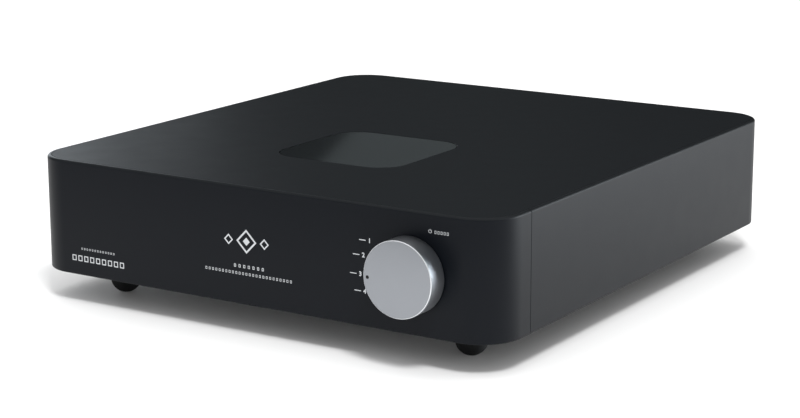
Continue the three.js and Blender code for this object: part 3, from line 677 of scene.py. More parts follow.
glass = Finish("smoked_glass", "202325", 0.06, 0.0, IOR=1.5, Transmission_Weight=0.5)
steps = [(7.3, glass_low.z), (7.5, glass_low.z + 0.2), (7.5, REBATE), (-GAP, REBATE)]
steps += [(-GAP, glass_high.z - 0.25), (-GAP - 0.25, glass_high.z)]
pane = Piece("window_pane", glass).loft(window_rings(steps), caps=True)
window_pane = pane.place("smoked_glass", "window_glass")

# %% [markdown]
# ## The source knob
# The knob is turned from one bar of aluminium, and the tool leaves rings round its face. The silver is a
# full metal whose roughness and bump follow the distance from the axis, so the rings show in every light.

# %% The knob's face
silver = Finish("turned_silver", "96999e", 0.3, 1.0)
silver_place = silver.place(KNOB_X, 0.0, KNOB_Z)
kx, ky, kz = silver.axes(silver_place)
ring_radius = (kx * kx + kz * kz) ** 0.5
rings = silver.noise(silver.vector(X=ring_radius * 9000.0, Y=ky * 9000.0), 1.0, 3.0)
patches = silver.noise(silver_place, 90.0, 3.0)
silver.shades(rings * 0.7 + patches * 0.3, 0.07)
silver.wire("Roughness", rings * 0.10 + patches * 0.08 + 0.25)
silver.bump(rings, 0.000004)

# %% The knob's side and its diamond-cut chamfer
side_silver = Finish("turned_side", "b4b7bc", 0.3, 1.0)
along = side_silver.axes(side_silver.place(KNOB_X, 0.0, KNOB_Z))[1]
grooves = side_silver.noise(side_silver.vector(Y=along * 12000.0), 1.0, 1.0)
side_silver.wire("Roughness", grooves * 0.08 + 0.41)
side_silver.bump(grooves, 0.00001)
cut_chamfer = grained("cut_chamfer", "dcdfe2", 0.3, 0.4, 0.03, 0.000001, 0.2)

# %% Knob shape
CHAMFER = 0.45
KNOB_RADIUS = (knob_high.x - knob_low.x) / 2
KNOB_FACE = knob_low.y
KNOB_BACK = knob_high.y
HUB_BACK = FRONT - 5.8
DOT_AT = (KNOB_X - 20.17, KNOB_FACE, KNOB_Z - 1.05)
DOT_RADIUS = 1.1
outside = [(0.0, KNOB_FACE, 0), (KNOB_RADIUS - CHAMFER, KNOB_FACE, 0.05)]
outside += [(KNOB_RADIUS, KNOB_FACE + CHAMFER, 0.1), (KNOB_RADIUS, KNOB_BACK, 0.5)]
cup = [(KNOB_RADIUS - 3.4, KNOB_BACK, 0.3), (KNOB_RADIUS - 3.4, FRONT - 11.6, 0.8)]
cup += [(7, FRONT - 11.6, 0.8), (7, HUB_BACK, 0.3), (3.3, HUB_BACK, 0.3), (3.3, FRONT - 13, 0)]
knob_profile = soften([*outside, *cup, (0.0, FRONT - 13, 0)], 3)
knob = Piece("turned_knob", silver, side_silver, cut_chamfer)
knob.turned(knob_profile, (KNOB_X, 0.0, KNOB_Z), "y", 160)
drilled = [(0, -1), (DOT_RADIUS, -1), (DOT_RADIUS, 0.7), (0, 0.95)]
dot_tool = Piece("dot").turned(drilled, DOT_AT, "y", 24)
screw_tool = Piece("screw_hole")
screw_tool.turned(rod(1.8, -KNOB_RADIUS - 1, -4), (KNOB_X, FRONT - 8.8, KNOB_Z), "z", 32)
knob.carved(dot_tool, screw_tool)
for face in knob.bm.faces:
    centre = face.calc_center_median() / MM
    reach = math.hypot(centre.x - KNOB_X, centre.z - KNOB_Z)
    depth = centre.y - KNOB_FACE
    if depth > CHAMFER and reach > KNOB_RADIUS - CHAMFER - 0.1:
        face.material_index = 1
    elif 0.005 < depth and reach > KNOB_RADIUS - CHAMFER - 0.05:
        face.material_index = 2
knob.place("silver_aluminium", "source_knob", body="source_knob")
dot_paint = grained("index_black", "060606", 0.7, 0.0, 0.1, 0.000005, 0.1)
index_dot = Piece("index_dot", dot_paint).turned(rod(DOT_RADIUS, 0.2, 0.6), DOT_AT, "y", 24)
index_dot.place(body="source_knob")

# %% [markdown]
# ## The feet
# Each foot is a dome of black rubber moulded round a screw. Rubber is never quite clean: it is matt, a
# little grey where it has been touched, and its grain is coarser than that of the metal.

# %% Feet
rubber = grained("foot_rubber", "141516", 0.8, 0.0, 0.25, 0.00003, 0.35, Specular_IOR_Level=0.35)
FOOT_RADIUS = 10.2
SOLE_RADIUS = 3.0
CORNERS = ("front_left", "front_right", "rear_left", "rear_right")
for corner in CORNERS:
    top = box(f"foot_{corner}")[1].z
    sole = math.asin(SOLE_RADIUS / FOOT_RADIUS)
    dome = arc(FOOT_RADIUS, math.degrees(sole) - 90, 0, 14, 0.0, FOOT_RADIUS * math.cos(sole))
    profile = [(0.0, 0.0), *dome, (FOOT_RADIUS, top - 0.4), (FOOT_RADIUS - 0.4, top)]
    profile += [(2.3, top), (2.3, 8), (0.0, 8)]
    middle = middle_of(f"foot_{corner}")
    foot = Piece(f"ball_foot_{corner}", rubber).turned(profile, (middle.x, middle.y, 0.0), "z", 64)
    foot.place("foot_rubber", f"foot_{corner}")

# %% [markdown]
# ## The printed marks
# The marks on the front are screen-printed: a film of light grey ink a few hundredths of a millimetre
# thick. A decal would need an image, so each mark is a very thin plate on the panel. The marks here are
# plain shapes and the numbers of the four inputs.

# %% Emblem and power symbol
ink = grained("printed_ink", "c4c7ca", 0.6, 0.0, 0.06, 0.000003, 0.15)
INK = (FRONT - 0.035, FRONT + 0.02)
INK_BEVEL = 0.004


def print_on_front(piece, *loops):
    return piece.plate(loops, *INK, INK_BEVEL, "y")


def lozenge(size, u, v):
    return traced(circle(size, u, v, 4))


emblem = Piece("printed_emblem", ink)
EMBLEM = (-1.45, UNDERSIDE + 40.1)
for shift, size in ((-13.5, 3.4), (0.0, 7.6), (13.5, 3.4)):
    place = (EMBLEM[0] + shift, EMBLEM[1])
    print_on_front(emblem, lozenge(size, *place), lozenge(size - 0.85 * (1 + size / 9), *place))
print_on_front(emblem, lozenge(2.6, *EMBLEM))
emblem.place()

POWER_MARK = (129.9, 83.9)
power_mark = Piece("printed_power_mark", ink)
band = arc(1.14, 125, 415, 24, *POWER_MARK) + arc(0.86, 125, 415, 24, *POWER_MARK)[::-1]
print_on_front(power_mark, traced(band))
print_on_front(power_mark, rounded(0.28, 1.2, 0.1, POWER_MARK[0], POWER_MARK[1] + 0.7, 2))
power_mark.place()

# %% Rows of small printed tablets: width, height, start, count, step, hollow
ROWS = [
    (1.5, 2.0, (-10.4, 44.2), 7, 3.5, 0.8),
    (1.3, 1.7, (-32.6, 39.6), 26, 2.56, 0.6),
    (3.4, 3.8, (-140.1, 31.2), 9, 4.95, 1.3),
    (1.1, 1.3, (-133.4, 37.8), 13, 2.2, 0.5),
    (1.2, 1.8, (133.5, 83.7), 5, 2.05, 0.5),
]
for number, (width, height, (x, z), count, step, hollow) in enumerate(ROWS, 1):
    loops = [rounded(width, height, 0.15, steps=2)]
    loops.append(rounded(width - hollow, height - hollow, 0.05, steps=2))
    tablet = Piece("tablet", ink).plate(loops, INK[0] - FRONT, INK[1] - FRONT, INK_BEVEL, "y")
    spacing = (step * MM, 0.0, 0.0)
    copies(in_a_row, f"printed_row_{number}", tablet, [(x, FRONT, z)], Count=count, Step=spacing)

# %% The numbers of the inputs, each with a short rule before it
DIGIT_HEIGHT = 2.8 * MM
INPUTS = ((88.3, 72.6), (83.9, 63.4), (81.7, 51.7), (84.8, 41.5))
digits = Piece("printed_input_numbers", ink)
for number, (u, v) in enumerate(INPUTS, 1):
    writing = bpy.data.curves.new("number", "FONT")
    writing.body = str(number)
    writing.size = DIGIT_HEIGHT * 1.42
    writing.align_x = "CENTER"
    writing.align_y = "CENTER"
    writing.resolution_u = 3
    writing.offset = 0.04 * DIGIT_HEIGHT
    writing.extrude = 0.5
    glyph = made_plain(linked("number", writing))
    level = (INK[0] + INK[1]) / 2 * MM
    upright = ((1, 0, 0, u * MM), (0, 0, (INK[0] - INK[1]) * MM, level), (0, 1, 0, v * MM), (0, 0, 0, 1))
    glyph.transform(Matrix(upright))
    digits.bm.from_mesh(glyph)
    print_on_front(digits, rounded(4.6, 0.5, 0.1, u - 5.0, v, 2))
digits.place(smooth_below=20.0)

# %% [markdown]
# ## The rear panel
# The sockets stand in a flat black plate behind the opening of the rear wall. Its holes are loops of one
# plate. The screws that hold it are one shape, copied to a few points, and each is turned by chance,
# because nobody lines up the sockets of screws.

# %% Finishes of the fittings
zinc = grained("zinc_plate", "b9bcbe", 0.34, 1.0, 0.08, 0.000004, 0.3)
black_steel = grained("black_steel", "1b1c1e", 0.35, 0.6, 0.15, 0.000004, 0.2)
moulded = grained("moulded_black", "141517", 0.48, 0.0, 0.14, 0.00001, 0.25, Specular_IOR_Level=0.4)
gold = grained("gold_plate", "d6a94a", 0.22, 1.0, 0.06, 0.000002, 0.4)
ivory = grained("moulded_white", "dededc", 0.42, 0.0, 0.04, 0.000006, 0.3)
scarlet = grained("moulded_red", "a81616", 0.42, 0.0, 0.08, 0.000006, 0.3)

# %% Screws
QUARTER = math.pi / 2
BACKWARDS = (-QUARTER, 0.0, 0.0)
DOWN = (math.pi, 0.0, 0.0)


def socket_screw(radius, height, finish, sunk=0.0):
    """A socket-head screw that stands on the origin and looks up Z."""
    screw = Piece("screw", finish)
    screw.plate([round_hole(radius, steps=24), hexagon(radius * 1.05)], -sunk, height, height * 0.18)
    return screw.plate([round_hole(radius * 0.75, steps=12)], -sunk, height * 0.35, height * 0.05)


def screws(name, pattern, points, seed, facing=(0.0, 0.0, 0.0), slot=None, *replaces):
    return copies(on_points, name, pattern, points, slot, *replaces, Facing=facing, Spin=6.0, Seed=seed)


# %% Rear plate
PANEL_FACE = panel_high.y
INLET = middle_of("mains_inlet")
ROCKER = middle_of("rocker_housing")
DATA = middle_of("data_socket")
OPTICALS = [middle_of("optical_socket_1"), middle_of("optical_socket_2")]
JACKS = [middle_of(node) for node in ("coaxial_jack", "output_jack_right", "output_jack_left")]
EARS = (INLET.x - 20, INLET.x + 20)
ears = [round_hole(1.6, x, INLET.z, 16) for x in EARS]
rear_loops = [
    rounded(2 * panel_high.x, PANEL_HEIGHT, 1, 0.0, PANEL_Z, 4),
    rounded(28.8, 30.8, 1, INLET.x, INLET.z, 4),
    rounded(14.8, 20.2, 1, ROCKER.x, ROCKER.z, 4),
    rounded(12.8, 11.6, 0.5, DATA.x, DATA.z, 4),
]
rear_loops += [rounded(10.6, 10.6, 0.5, optical.x, optical.z, 4) for optical in OPTICALS]
rear_loops += [round_hole(4.4, jack.x, jack.z) for jack in JACKS] + ears
flat("rear_panel", "rear_plate", anodised, rear_loops, 0.15, "anodised_black", "y")
points = [(x, PANEL_FACE, z) for x in (-140, -50, 0, 140) for z in (33, 82)]
points += [(100, PANEL_FACE, 82), (70, PANEL_FACE, 82)]
screws("rear_plate_screws", socket_screw(2.6, 1.3, black_steel), points, 3, BACKWARDS)
inlet_low, inlet_high = box("mains_inlet")
points = [(x, inlet_high.y, INLET.z) for x in EARS]
screws("inlet_screws", socket_screw(2.4, 1.0, zinc, 0.6), points, 5, BACKWARDS)

# %% [markdown]
# ## Mains inlet and fuse drawer
# The inlet is a black moulding with a cavity for the plug, three blades and a drawer for the fuse. A
# moulding with deep cavities is easiest as a block with shapes carved out of it.

# %% Inlet housing and blades
FLANGE_BACK = PANEL_FACE + GAP
FACE = inlet_high.y
PLUG_Z = INLET.z + 4.5
DRAWER_Z = INLET.z - 9.8


def around(x, z, half_width, half_height, y0, y1):
    """The two corners of a block round a centre, from one depth to another."""
    return (x - half_width, y0, z - half_height), (x + half_width, y1, z + half_height)


plug_corners = [(-12.2, -8), (12.2, -8), (12.2, 3.6), (7.8, 8), (-7.8, 8), (-12.2, 3.6)]
plug_outline = cavity(plug_corners, 0.8, INLET.x, PLUG_Z)
drawer_hole = rounded(22.6, 7.0, 0.4, INLET.x, DRAWER_Z, 2)
inlet = Piece("inlet_housing", moulded)
inlet.block(*around(INLET.x, INLET.z, 14, 15, inlet_low.y, FLANGE_BACK + 0.4))
plug_tool = Piece("plug_space").plate([plug_outline], FACE - 16, FACE + 1, 0.1, "y")
drawer_tool = Piece("drawer_space").plate([drawer_hole], FACE - 24.3, FACE + 1, 0.1, "y")
inlet.carved(plug_tool, drawer_tool)
flange = rounded(50, 32, 4, INLET.x, INLET.z, 6)
inlet.plate([flange, plug_outline, drawer_hole, *ears], FLANGE_BACK, FACE, 0.35, "y")
inlet.place("black_plastic", "mains_inlet")
blades = Piece("inlet_blades", zinc)
for dx, dz in ((-7, -2), (7, -2), (0, 2)):
    at_blade = (INLET.x + dx, PLUG_Z + dz)
    blades.block(*around(*at_blade, 1, 2, FACE - 17, FACE - 2), 0.5, 3)
    blades.block(*around(*at_blade, 0.4, 2.4, inlet_low.y - 6, inlet_low.y), 0.15, 1)
blades.place("zinc_steel")

# %% Fuse drawer
fuse_low, fuse_high = box("mains_fuse")
tray = Piece("fuse_tray", moulded).block(*box("fuse_drawer"), 0.35, 2)
grip = Piece("grip").block(*around(INLET.x, DRAWER_Z - 2.6, 4, 0.8, FACE - 0.6, FACE + 2), 0.2, 1)
deep = (fuse_low.y - 0.5, fuse_high.y + 0.5)
pocket = Piece("pocket").block(*around(INLET.x, DRAWER_Z + 1.2, 2.8, 3.4, *deep))
spare = Piece("spare").block(*around(INLET.x - 7, DRAWER_Z + 1.2, 2.2, 2.4, fuse_low.y, fuse_high.y))
tray.carved(grip, pocket, spare)
tray.place("black_plastic", "fuse_drawer", body="fuse_drawer", smooth_below=50.0)

# %% Fuse
clear_glass = Finish("clear_glass", "eef4f5", 0.03, 0.0, IOR=1.47, Transmission_Weight=1.0)
clear_place = clear_glass.place()
clear_glass.wire("Roughness", clear_glass.noise(clear_place, 120.0, 3.0) * 0.05 + 0.01)
clear_glass.bump(clear_glass.noise(clear_place, 260.0), 0.00001)
fuse_middle = (fuse_low + fuse_high) / 2
fuse_place = (INLET.x, fuse_middle.y, fuse_middle.z)
FUSE_RADIUS = (fuse_high.z - fuse_low.z) / 2
fuse = Piece("glass_fuse", clear_glass, zinc)
tube = [(1.7, -9.5), (2.2, -9.5), (2.2, 9.5), (1.7, 9.5)]
fuse.turned(tube, fuse_place, "y", 32, closed=True)
cap = [(0, 10), (2.1, 10), (FUSE_RADIUS, 9.6), (FUSE_RADIUS, 4.6), (2.25, 4.6), (2.25, 9.4), (0, 9.4)]
for end in (-1, 1):
    fuse.turned([(r, end * h) for r, h in cap], fuse_place, "y", 32, wears=1)
fuse.turned(rod(0.12, -9.5, 9.5), fuse_place, "y", 8, wears=1)
fuse.place("clear_glass", "mains_fuse", body="fuse_drawer")

# %% [markdown]
# ## The power rocker
# The rocker is one bar whose two halves meet in a shallow valley. It is drawn level, as a side view with
# rounded edges, and then tipped about its pin to the tilt it rests at.

# %% Rocker frame
rocker_low, rocker_high = box("rocker_housing")
PIVOT = Vector((ROCKER.x, FLANGE_BACK - 0.35, ROCKER.z))
well = rounded(11.2, 17.6, 0.6, ROCKER.x, ROCKER.z, 4)
rocker_frame = Piece("rocker_frame", moulded)
rocker_frame.block(*around(ROCKER.x, ROCKER.z, 7, 9.7, rocker_low.y, FLANGE_BACK + 0.4))
rocker_frame.carved(Piece("well").plate([well], PIVOT.y - 4.4, rocker_high.y + 1, 0.1, "y"))
rim = rounded(16.4, 21.4, 1.6, ROCKER.x, ROCKER.z, 5)
rocker_frame.plate([rim, well], FLANGE_BACK, rocker_high.y, 0.45, "y")
rocker_frame.place("black_plastic", "rocker_housing")
tails = Piece("rocker_terminals", zinc)
for dz in (-6, 2):
    tails.block(*around(ROCKER.x, ROCKER.z + dz, 2.4, 0.4, rocker_low.y - 7, rocker_low.y), 0.15, 1)
tails.place("zinc_steel")

# %% Rocker
REACH = 8.4
VALLEY = 2.6
side_view = [(s, c) for c, s in arc(REACH, -15, 35, 8)]
side_view += [(VALLEY + 0.35, 0.9), (VALLEY + 0.1, 0.3), (VALLEY + 0.1, -0.3), (VALLEY + 0.35, -0.9)]
side_view += [(s, c) for c, s in arc(REACH, 145, 195, 8)]
tipped = Matrix.Translation(PIVOT * MM) @ Matrix.Rotation(math.radians(-8), 4, "X")
rocker = Piece("rocker_button", moulded).plate([traced(side_view[::-1])], -5.3, 5.3, 0.35, "x")
rocker.turned(rod(1.1, -6.1, 6.1), (0, 0, 0), "x", 24)
rocker.bm.transform(tipped)
rocker.place("black_plastic", "power_rocker", body="power_rocker")

# %% Marks on the rocker's two halves
white_ink = grained("rocker_ink", "e4e6e6", 0.5, 0.0, 0.05, 0.000003, 0.15)
half_low = Vector((VALLEY + 0.35, 0.9))
half_high = Vector(side_view[8])
half_way = (half_low + half_high) / 2 * MM
SLOPE = math.atan2(half_high.x - half_low.x, half_high.y - half_low.y)
stroke = [rounded(0.5, 2.6, 0.1, steps=2)]
ring = [round_hole(1.4, steps=24), round_hole(0.95, steps=24)]
marks = Piece("rocker_marks", white_ink)
for side, loops in ((1, stroke), (-1, ring)):
    mark = Piece("mark").plate(loops, -0.04, 0.04, 0.005, "y").mesh()
    seat = Matrix.Translation((0.0, half_way.x, side * half_way.y))
    mark.transform(tipped @ seat @ Matrix.Rotation(-side * SLOPE, 4, "X"))
    marks.bm.from_mesh(mark)
marks.place(body="power_rocker")

# %% [markdown]
# ## Digital sockets
# A square data socket, two optical sockets with hinged shutters and a coaxial jack sit on the converter
# board and look out through the panel.

# %% Data socket
data_low, data_high = box("data_socket")
data_corners = [(-4.25, -3.9), (4.25, -3.9), (4.25, 2.3), (2.7, 3.9), (-2.7, 3.9), (-4.25, 2.3)]
mouth = cavity(data_corners, 0.5, DATA.x, DATA.z)
data_shell = Piece("data_socket_shell", zinc)
data_shell.plate([rounded(12, 10.8, 0.8, DATA.x, DATA.z, 4)], data_low.y, data_high.y, 0.25, "y")
data_shell.carved(Piece("mouth").plate([mouth], data_high.y - 9, data_high.y + 1, 0.1, "y"))
data_shell.place("zinc_steel", "data_socket")
tongue = Piece("data_socket_tongue", ivory, gold)
tongue_z = DATA.z + 0.6
tongue.block(*around(DATA.x, tongue_z, 2.8, 1.5, data_high.y - 9.5, data_high.y - 0.6), 0.3, 2)
for dx, dz in ((-1.25, -1.52), (-1.25, 1.52), (1.25, -1.52), (1.25, 1.52)):
    strip = around(DATA.x + dx, tongue_z + dz, 0.4, 0.1, data_high.y - 8, data_high.y - 1.6)
    tongue.block(*strip, wears=1)
tongue.place("white_plastic")

# %% Optical sockets and their shutters
optical_corners = [(-4.1, -4.1), (4.1, -4.1), (4.1, 3.4), (3.4, 4.1), (-3.4, 4.1), (-4.1, 3.4)]
for number, optical in enumerate(OPTICALS, 1):
    low, high = box(f"optical_socket_{number}")
    mouth = cavity(optical_corners, 0.4, optical.x, optical.z)
    housing = Piece(f"optical_housing_{number}", moulded)
    housing.plate([rounded(9.8, 9.8, 0.6, optical.x, optical.z, 4)], low.y, high.y, 0.35, "y")
    housing.carved(Piece("mouth").plate([mouth], high.y - 12.5, high.y + 1, 0.1, "y"))
    housing.place("black_plastic", f"optical_socket_{number}")
    shutter = f"optical_shutter_{number}"
    low, high = box(shutter)
    flap = Piece(f"optical_flap_{number}", moulded).block(low, high, 0.2, 2)
    flap.block(*around(optical.x, low.z + 1.1, 2.2, 0.35, high.y - 0.1, high.y + 0.35), 0.1, 1)
    flap.place("black_plastic", shutter, body=shutter)

# %% [markdown]
# ## Coaxial and output jacks
# Each jack is turned brass with gold plate: a barrel with a rolled lip, a hexagonal flange and a long
# thread behind the panel. Its coloured core has a hole for the pin, lined by a split contact.

# %% Jacks
THREAD_PITCH = 0.8
ROLLED_LIP = [(4.15, -1.9), (3.9, -1.6), (3.9, -1.3), (4.15, -1.0), (4.15, -0.3)]
ROLLED_LIP += [(3.9, 0), (3.6, 0), (3.4, -0.3)]
CORE_RIM = [(3.1, -0.3), (2.8, 0), (2.0, 0), (1.65, -0.4), (1.65, -7.8), (0.0, -7.8)]
SPLIT_CONTACT = [(1.3, -7.7), (1.6, -7.7), (1.6, -0.9), (1.3, -0.9)]


def thread(radius, start, end, depth=0.35):
    """The (radius, height) points of a screw thread's outline."""
    ridge = []
    turns = int(round((end - start) / THREAD_PITCH, 4))
    for i in range(turns):
        ridge += [(radius - depth, start + i * THREAD_PITCH), (radius, start + (i + 0.5) * THREAD_PITCH)]
    return ridge + [(radius - depth, start + turns * THREAD_PITCH)]


for name, node, core_node, core_finish, core_slot in (
    ("coaxial", "coaxial_jack", "coaxial_insert", moulded, "black_plastic"),
    ("output_right", "output_jack_right", "output_insert_right", scarlet, "red_plastic"),
    ("output_left", "output_jack_left", "output_insert_left", ivory, "white_plastic"),
):
    low, high = box(node)
    axis = middle_of(node)
    on_axis = (axis.x, 0.0, axis.z)
    barrel = [*thread(4.0, low.y, FLANGE_BACK), (4.15, FLANGE_BACK + 2.4)]
    barrel += [(r, high.y + h) for r, h in ROLLED_LIP] + [(3.4, low.y)]
    jack = Piece(f"{name}_barrel", gold).turned(barrel, on_axis, "y", 48, closed=True)
    bore = round_hole(4.05, axis.x, axis.z, 48)
    flange = [hexagon(13, axis.x, axis.z, 30), bore]
    jack.plate(flange, FLANGE_BACK, FLANGE_BACK + 2.2, 0.35, "y")
    nut = [hexagon(12, axis.x, axis.z, 11.459), bore]
    jack.plate(nut, panel_low.y - 2.6, panel_low.y - 0.1, 0.3, "y")
    jack.place("gold_plate", node)
    low, high = box(core_node)
    core_profile = [(0.0, low.y), (3.1, low.y), *[(r, high.y + h) for r, h in CORE_RIM]]
    core = Piece(f"{name}_core", core_finish, gold).turned(core_profile, on_axis, "y", 40)
    contact = [(r, high.y + h) for r, h in SPLIT_CONTACT]
    core.turned(contact, on_axis, "y", 24, closed=True, wears=1)
    core.block(*around(axis.x, axis.z, 0.5, 0.5, low.y - 4, low.y), 0.1, 1, wears=1)
    core.place(core_slot, core_node)

# %% Printed rings round the sockets
rear_marks = Piece("printed_rear_marks", ink)
REAR_INK = (PANEL_FACE - 0.02, PANEL_FACE + 0.035)
for axis in JACKS:
    ring = [round_hole(radius, axis.x, axis.z, 64) for radius in (7.7, 7.35)]
    rear_marks.plate(ring, *REAR_INK, INK_BEVEL, "y")
for axis, half in ((DATA, 9.5), (OPTICALS[0], 8.0), (OPTICALS[1], 8.0)):
    sides = ((2 * half, 15.6, 2), (2 * half - 0.7, 14.9, 1.7))
    rear_marks.plate([rounded(*side, axis.x, 38, 4) for side in sides], *REAR_INK, INK_BEVEL, "y")
rear_marks.place()

# %% [markdown]
# ## The base plate
# A flat black plate carries everything. It has slots under the tubes and under the power supply, so air
# can rise through the case, and round brass standoffs that hold the boards clear of it.

# %% Base plate
feet = [middle_of(f"foot_{corner}") for corner in CORNERS]
bolt_low, bolt_high = box("transformer_bolt")
BOLT = middle_of("transformer_bolt")
base_loops = [case_outline(HALF_WIDTH - base_high.x)]
base_loops += [round_hole(2.3, foot.x, foot.y, 20) for foot in feet]
base_loops.append(round_hole(6.3, BOLT.x, BOLT.y, 32))
for x, y in ((0.0, WINDOW_Y), (-110, -34)):
    base_loops += [rounded(34, 3.4, 1.69, x, y + 9 * i, 5) for i in range(-2, 3)]
base_plate = Piece("base_plate", lid_finish).plate(base_loops, base_low.z, BASE_TOP, 0.2)
base_plate.place("painted_black", "bottom_plate")

# %% Standoffs and screws
brass = grained("brass", "b08a48", 0.35, 1.0, 0.08, 0.000004, 0.3)
BOARDS = {name: box(name) for name in ("tube_board", "power_board", "dac_board")}


def fixings(board):
    low, high = BOARDS[board]
    return [(x, y) for x in (low.x + 6, high.x - 6) for y in (low.y + 6, high.y - 6)]


screw_points = []
for board, (low, high) in BOARDS.items():
    height = low.z - BASE_TOP
    outline = [(0, 0), (3.5, 0), (3.5, height - 0.3), (3.2, height), (0, height)]
    standoff = Piece("standoff", brass).turned(outline, segments=16)
    copies(on_points, f"{board}_standoffs", standoff, [(x, y, BASE_TOP) for x, y in fixings(board)])
    screw_points += [(x, y, high.z) for x, y in fixings(board)]
screws("board_screws", socket_screw(2.8, 1.9, zinc), screw_points, 11)
shank = [(0, -14.4), *thread(2.0, -14.2, 0.0), (2.0, 0.1), (0, 0.1)]
foot_screw = socket_screw(3.8, 2.4, zinc).turned(shank, segments=16)
points = [(foot.x, foot.y, BASE_TOP + GAP) for foot in feet]
foot_nodes = [f"foot_screw_{corner}" for corner in CORNERS]
screws("foot_screws", foot_screw, points, 2, (0.0, 0.0, 0.0), "zinc_steel", *foot_nodes)
edge_x = base_high.x - 4
points = [(side * edge_x, y, base_low.z) for side in (-1, 1) for y in (-130, -30, 60, 150)]
points += [(x, y, base_low.z) for x in (-100, 0, 100) for y in (base_low.y + 4, base_high.y - 4)]
screws("base_screws", socket_screw(2.6, 0.35, black_steel, 0.3), points, 7, DOWN)

# %% Window retainer
low, high = box("window_frame")
shelf = low.z + 1.8
steps = [(14.2, low.z), (14.5, low.z + 0.3), (14.5, high.z - 0.3), (14.2, high.z), (7.9, high.z)]
steps += [(7.8, shelf), (1.0, shelf), (1.0, low.z + 0.3), (1.3, low.z)]
retainer = Piece("window_retainer", moulded).loft(window_rings(steps), wrap=True)
retainer.place("black_plastic", "window_frame")

# %% Splice plates behind the seams
SEAM = (front_high.y + shell_low.y) / 2
for side, name in ((-1, "left"), (1, "right")):
    low, high = box(f"splice_plate_{name}")
    middle = (low + high) / 2
    holes = [(SEAM + dy, middle.z + dz) for dy in (-5, 9) for dz in (-18, 18)]
    loops = [rounded(high.y - low.y, high.z - low.z, 2, middle.y, middle.z, 4)]
    loops += [round_hole(1.6, y, z, 16) for y, z in holes]
    flat(f"splice_plate_{name}", f"splice_{name}", zinc, loops, 0.25, "zinc_steel", "x")
    points = [(high.x if side < 0 else low.x, y, z) for y, z in holes]
    pattern = socket_screw(2.8, 1.8, zinc)
    screws(f"splice_screws_{name}", pattern, points, 20 + side, (0.0, -side * QUARTER, 0.0))

# %% [markdown]
# ## The selector behind the knob
# The knob's shaft turns in a threaded bushing that a nut clamps to the panel. Pressing the knob pushes a
# white plunger in the selector's body.

# %% Shaft and set screw
ON_KNOB = (KNOB_X, 0.0, KNOB_Z)
low, high = box("selector_shaft")
profile = [(0, low.y), (2.7, low.y), (3.0, low.y + 0.3), (3.0, high.y - 0.3), (2.7, high.y), (0, high.y)]
shaft = Piece("flatted_shaft", zinc).turned(profile, ON_KNOB, "y", 40)
flat_tool = Piece("flat").block((KNOB_X - 5, low.y - 1, KNOB_Z - 5), (KNOB_X + 5, HUB_BACK, KNOB_Z - 2.4))
shaft.carved(flat_tool).place("zinc_steel", "selector_shaft", body="source_knob")
low, high = box("knob_set_screw")
profile = [(0, high.z), (0.9, high.z), *thread(1.5, low.z + 0.1, high.z - 0.3, 0.2)[::-1]]
profile += [(1.2, low.z), (0.8, low.z), (0.8, low.z + 1.8), (0, low.z + 1.8)]
grub = Piece("grub_screw", black_steel).turned(profile, (KNOB_X, (low.y + high.y) / 2, 0.0), "z", 24)
grub.place("zinc_steel", "knob_set_screw", body="source_knob")

# %% Nut, bushing, case and plunger
loops = [hexagon(13.8, *AT_KNOB), round_hole(4.6, *AT_KNOB)]
flat("selector_nut", "clamping_nut", zinc, loops, 0.35, "zinc_steel", "y")
low, high = box("selector_bushing")
tube = [*thread(4.5, low.y + 0.2, FRONT + 5, 0.3), (3.4, FRONT + 5), (3.4, low.y), (4.1, low.y)]
bushing = Piece("threaded_bushing", zinc).turned(tube, ON_KNOB, "y", 40, closed=True)
loops = [rounded(17, 17, 2, *AT_KNOB, 4), round_hole(3.4, *AT_KNOB)]
bushing.plate(loops, high.y - 1.5, high.y, 0.2, "y").place("zinc_steel", "selector_bushing")
loops = [rounded(18, 18, 1, *AT_KNOB, 4), round_hole(3.4, *AT_KNOB)]
flat("selector_body", "selector_case", moulded, loops, 0.4, "black_plastic", "y")
low, high = box("push_plunger")
stem = [(0, low.y), (2.0, low.y), (2.8, low.y + 0.8), (2.8, high.y - 0.2), (2.6, high.y), (0, high.y)]
plunger = Piece("plunger_button", ivory).turned(stem, ON_KNOB, "y", 32)
plunger.place("white_plastic", "push_plunger", body="push_plunger")

# %% [markdown]
# ## Circuit boards
# A board is woven glass laminate under green lacquer, with copper tracks that show through it as a lighter
# green. The tracks follow two stepped noises, so they run along the board's sides as real tracks do.

# %% Board finish
solder_mask = Finish("solder_mask", "14402a", 0.35, 0.0, Specular_IOR_Level=0.5)
board_place = solder_mask.place()
bx, by, _ = solder_mask.axes(board_place)
steps_x = solder_mask.node("ShaderNodeMath", {0: bx * 420.0}, operation="FLOOR")
steps_y = solder_mask.node("ShaderNodeMath", {0: by * 420.0}, operation="FLOOR")
along_x = solder_mask.noise(solder_mask.vector(X=bx * 60.0, Y=steps_y), 1.0)
along_y = solder_mask.noise(solder_mask.vector(X=steps_x, Y=by * 60.0), 1.0)
tracks = along_x.above(0.58) + along_y.above(0.6)
solder_mask.blend(tracks * 0.5, solder_mask.colour, linear("2c6a44"))
solder_mask.wire("Roughness", solder_mask.noise(board_place, 300.0) * 0.15 + 0.28)
solder_mask.bump(tracks, 0.00003)

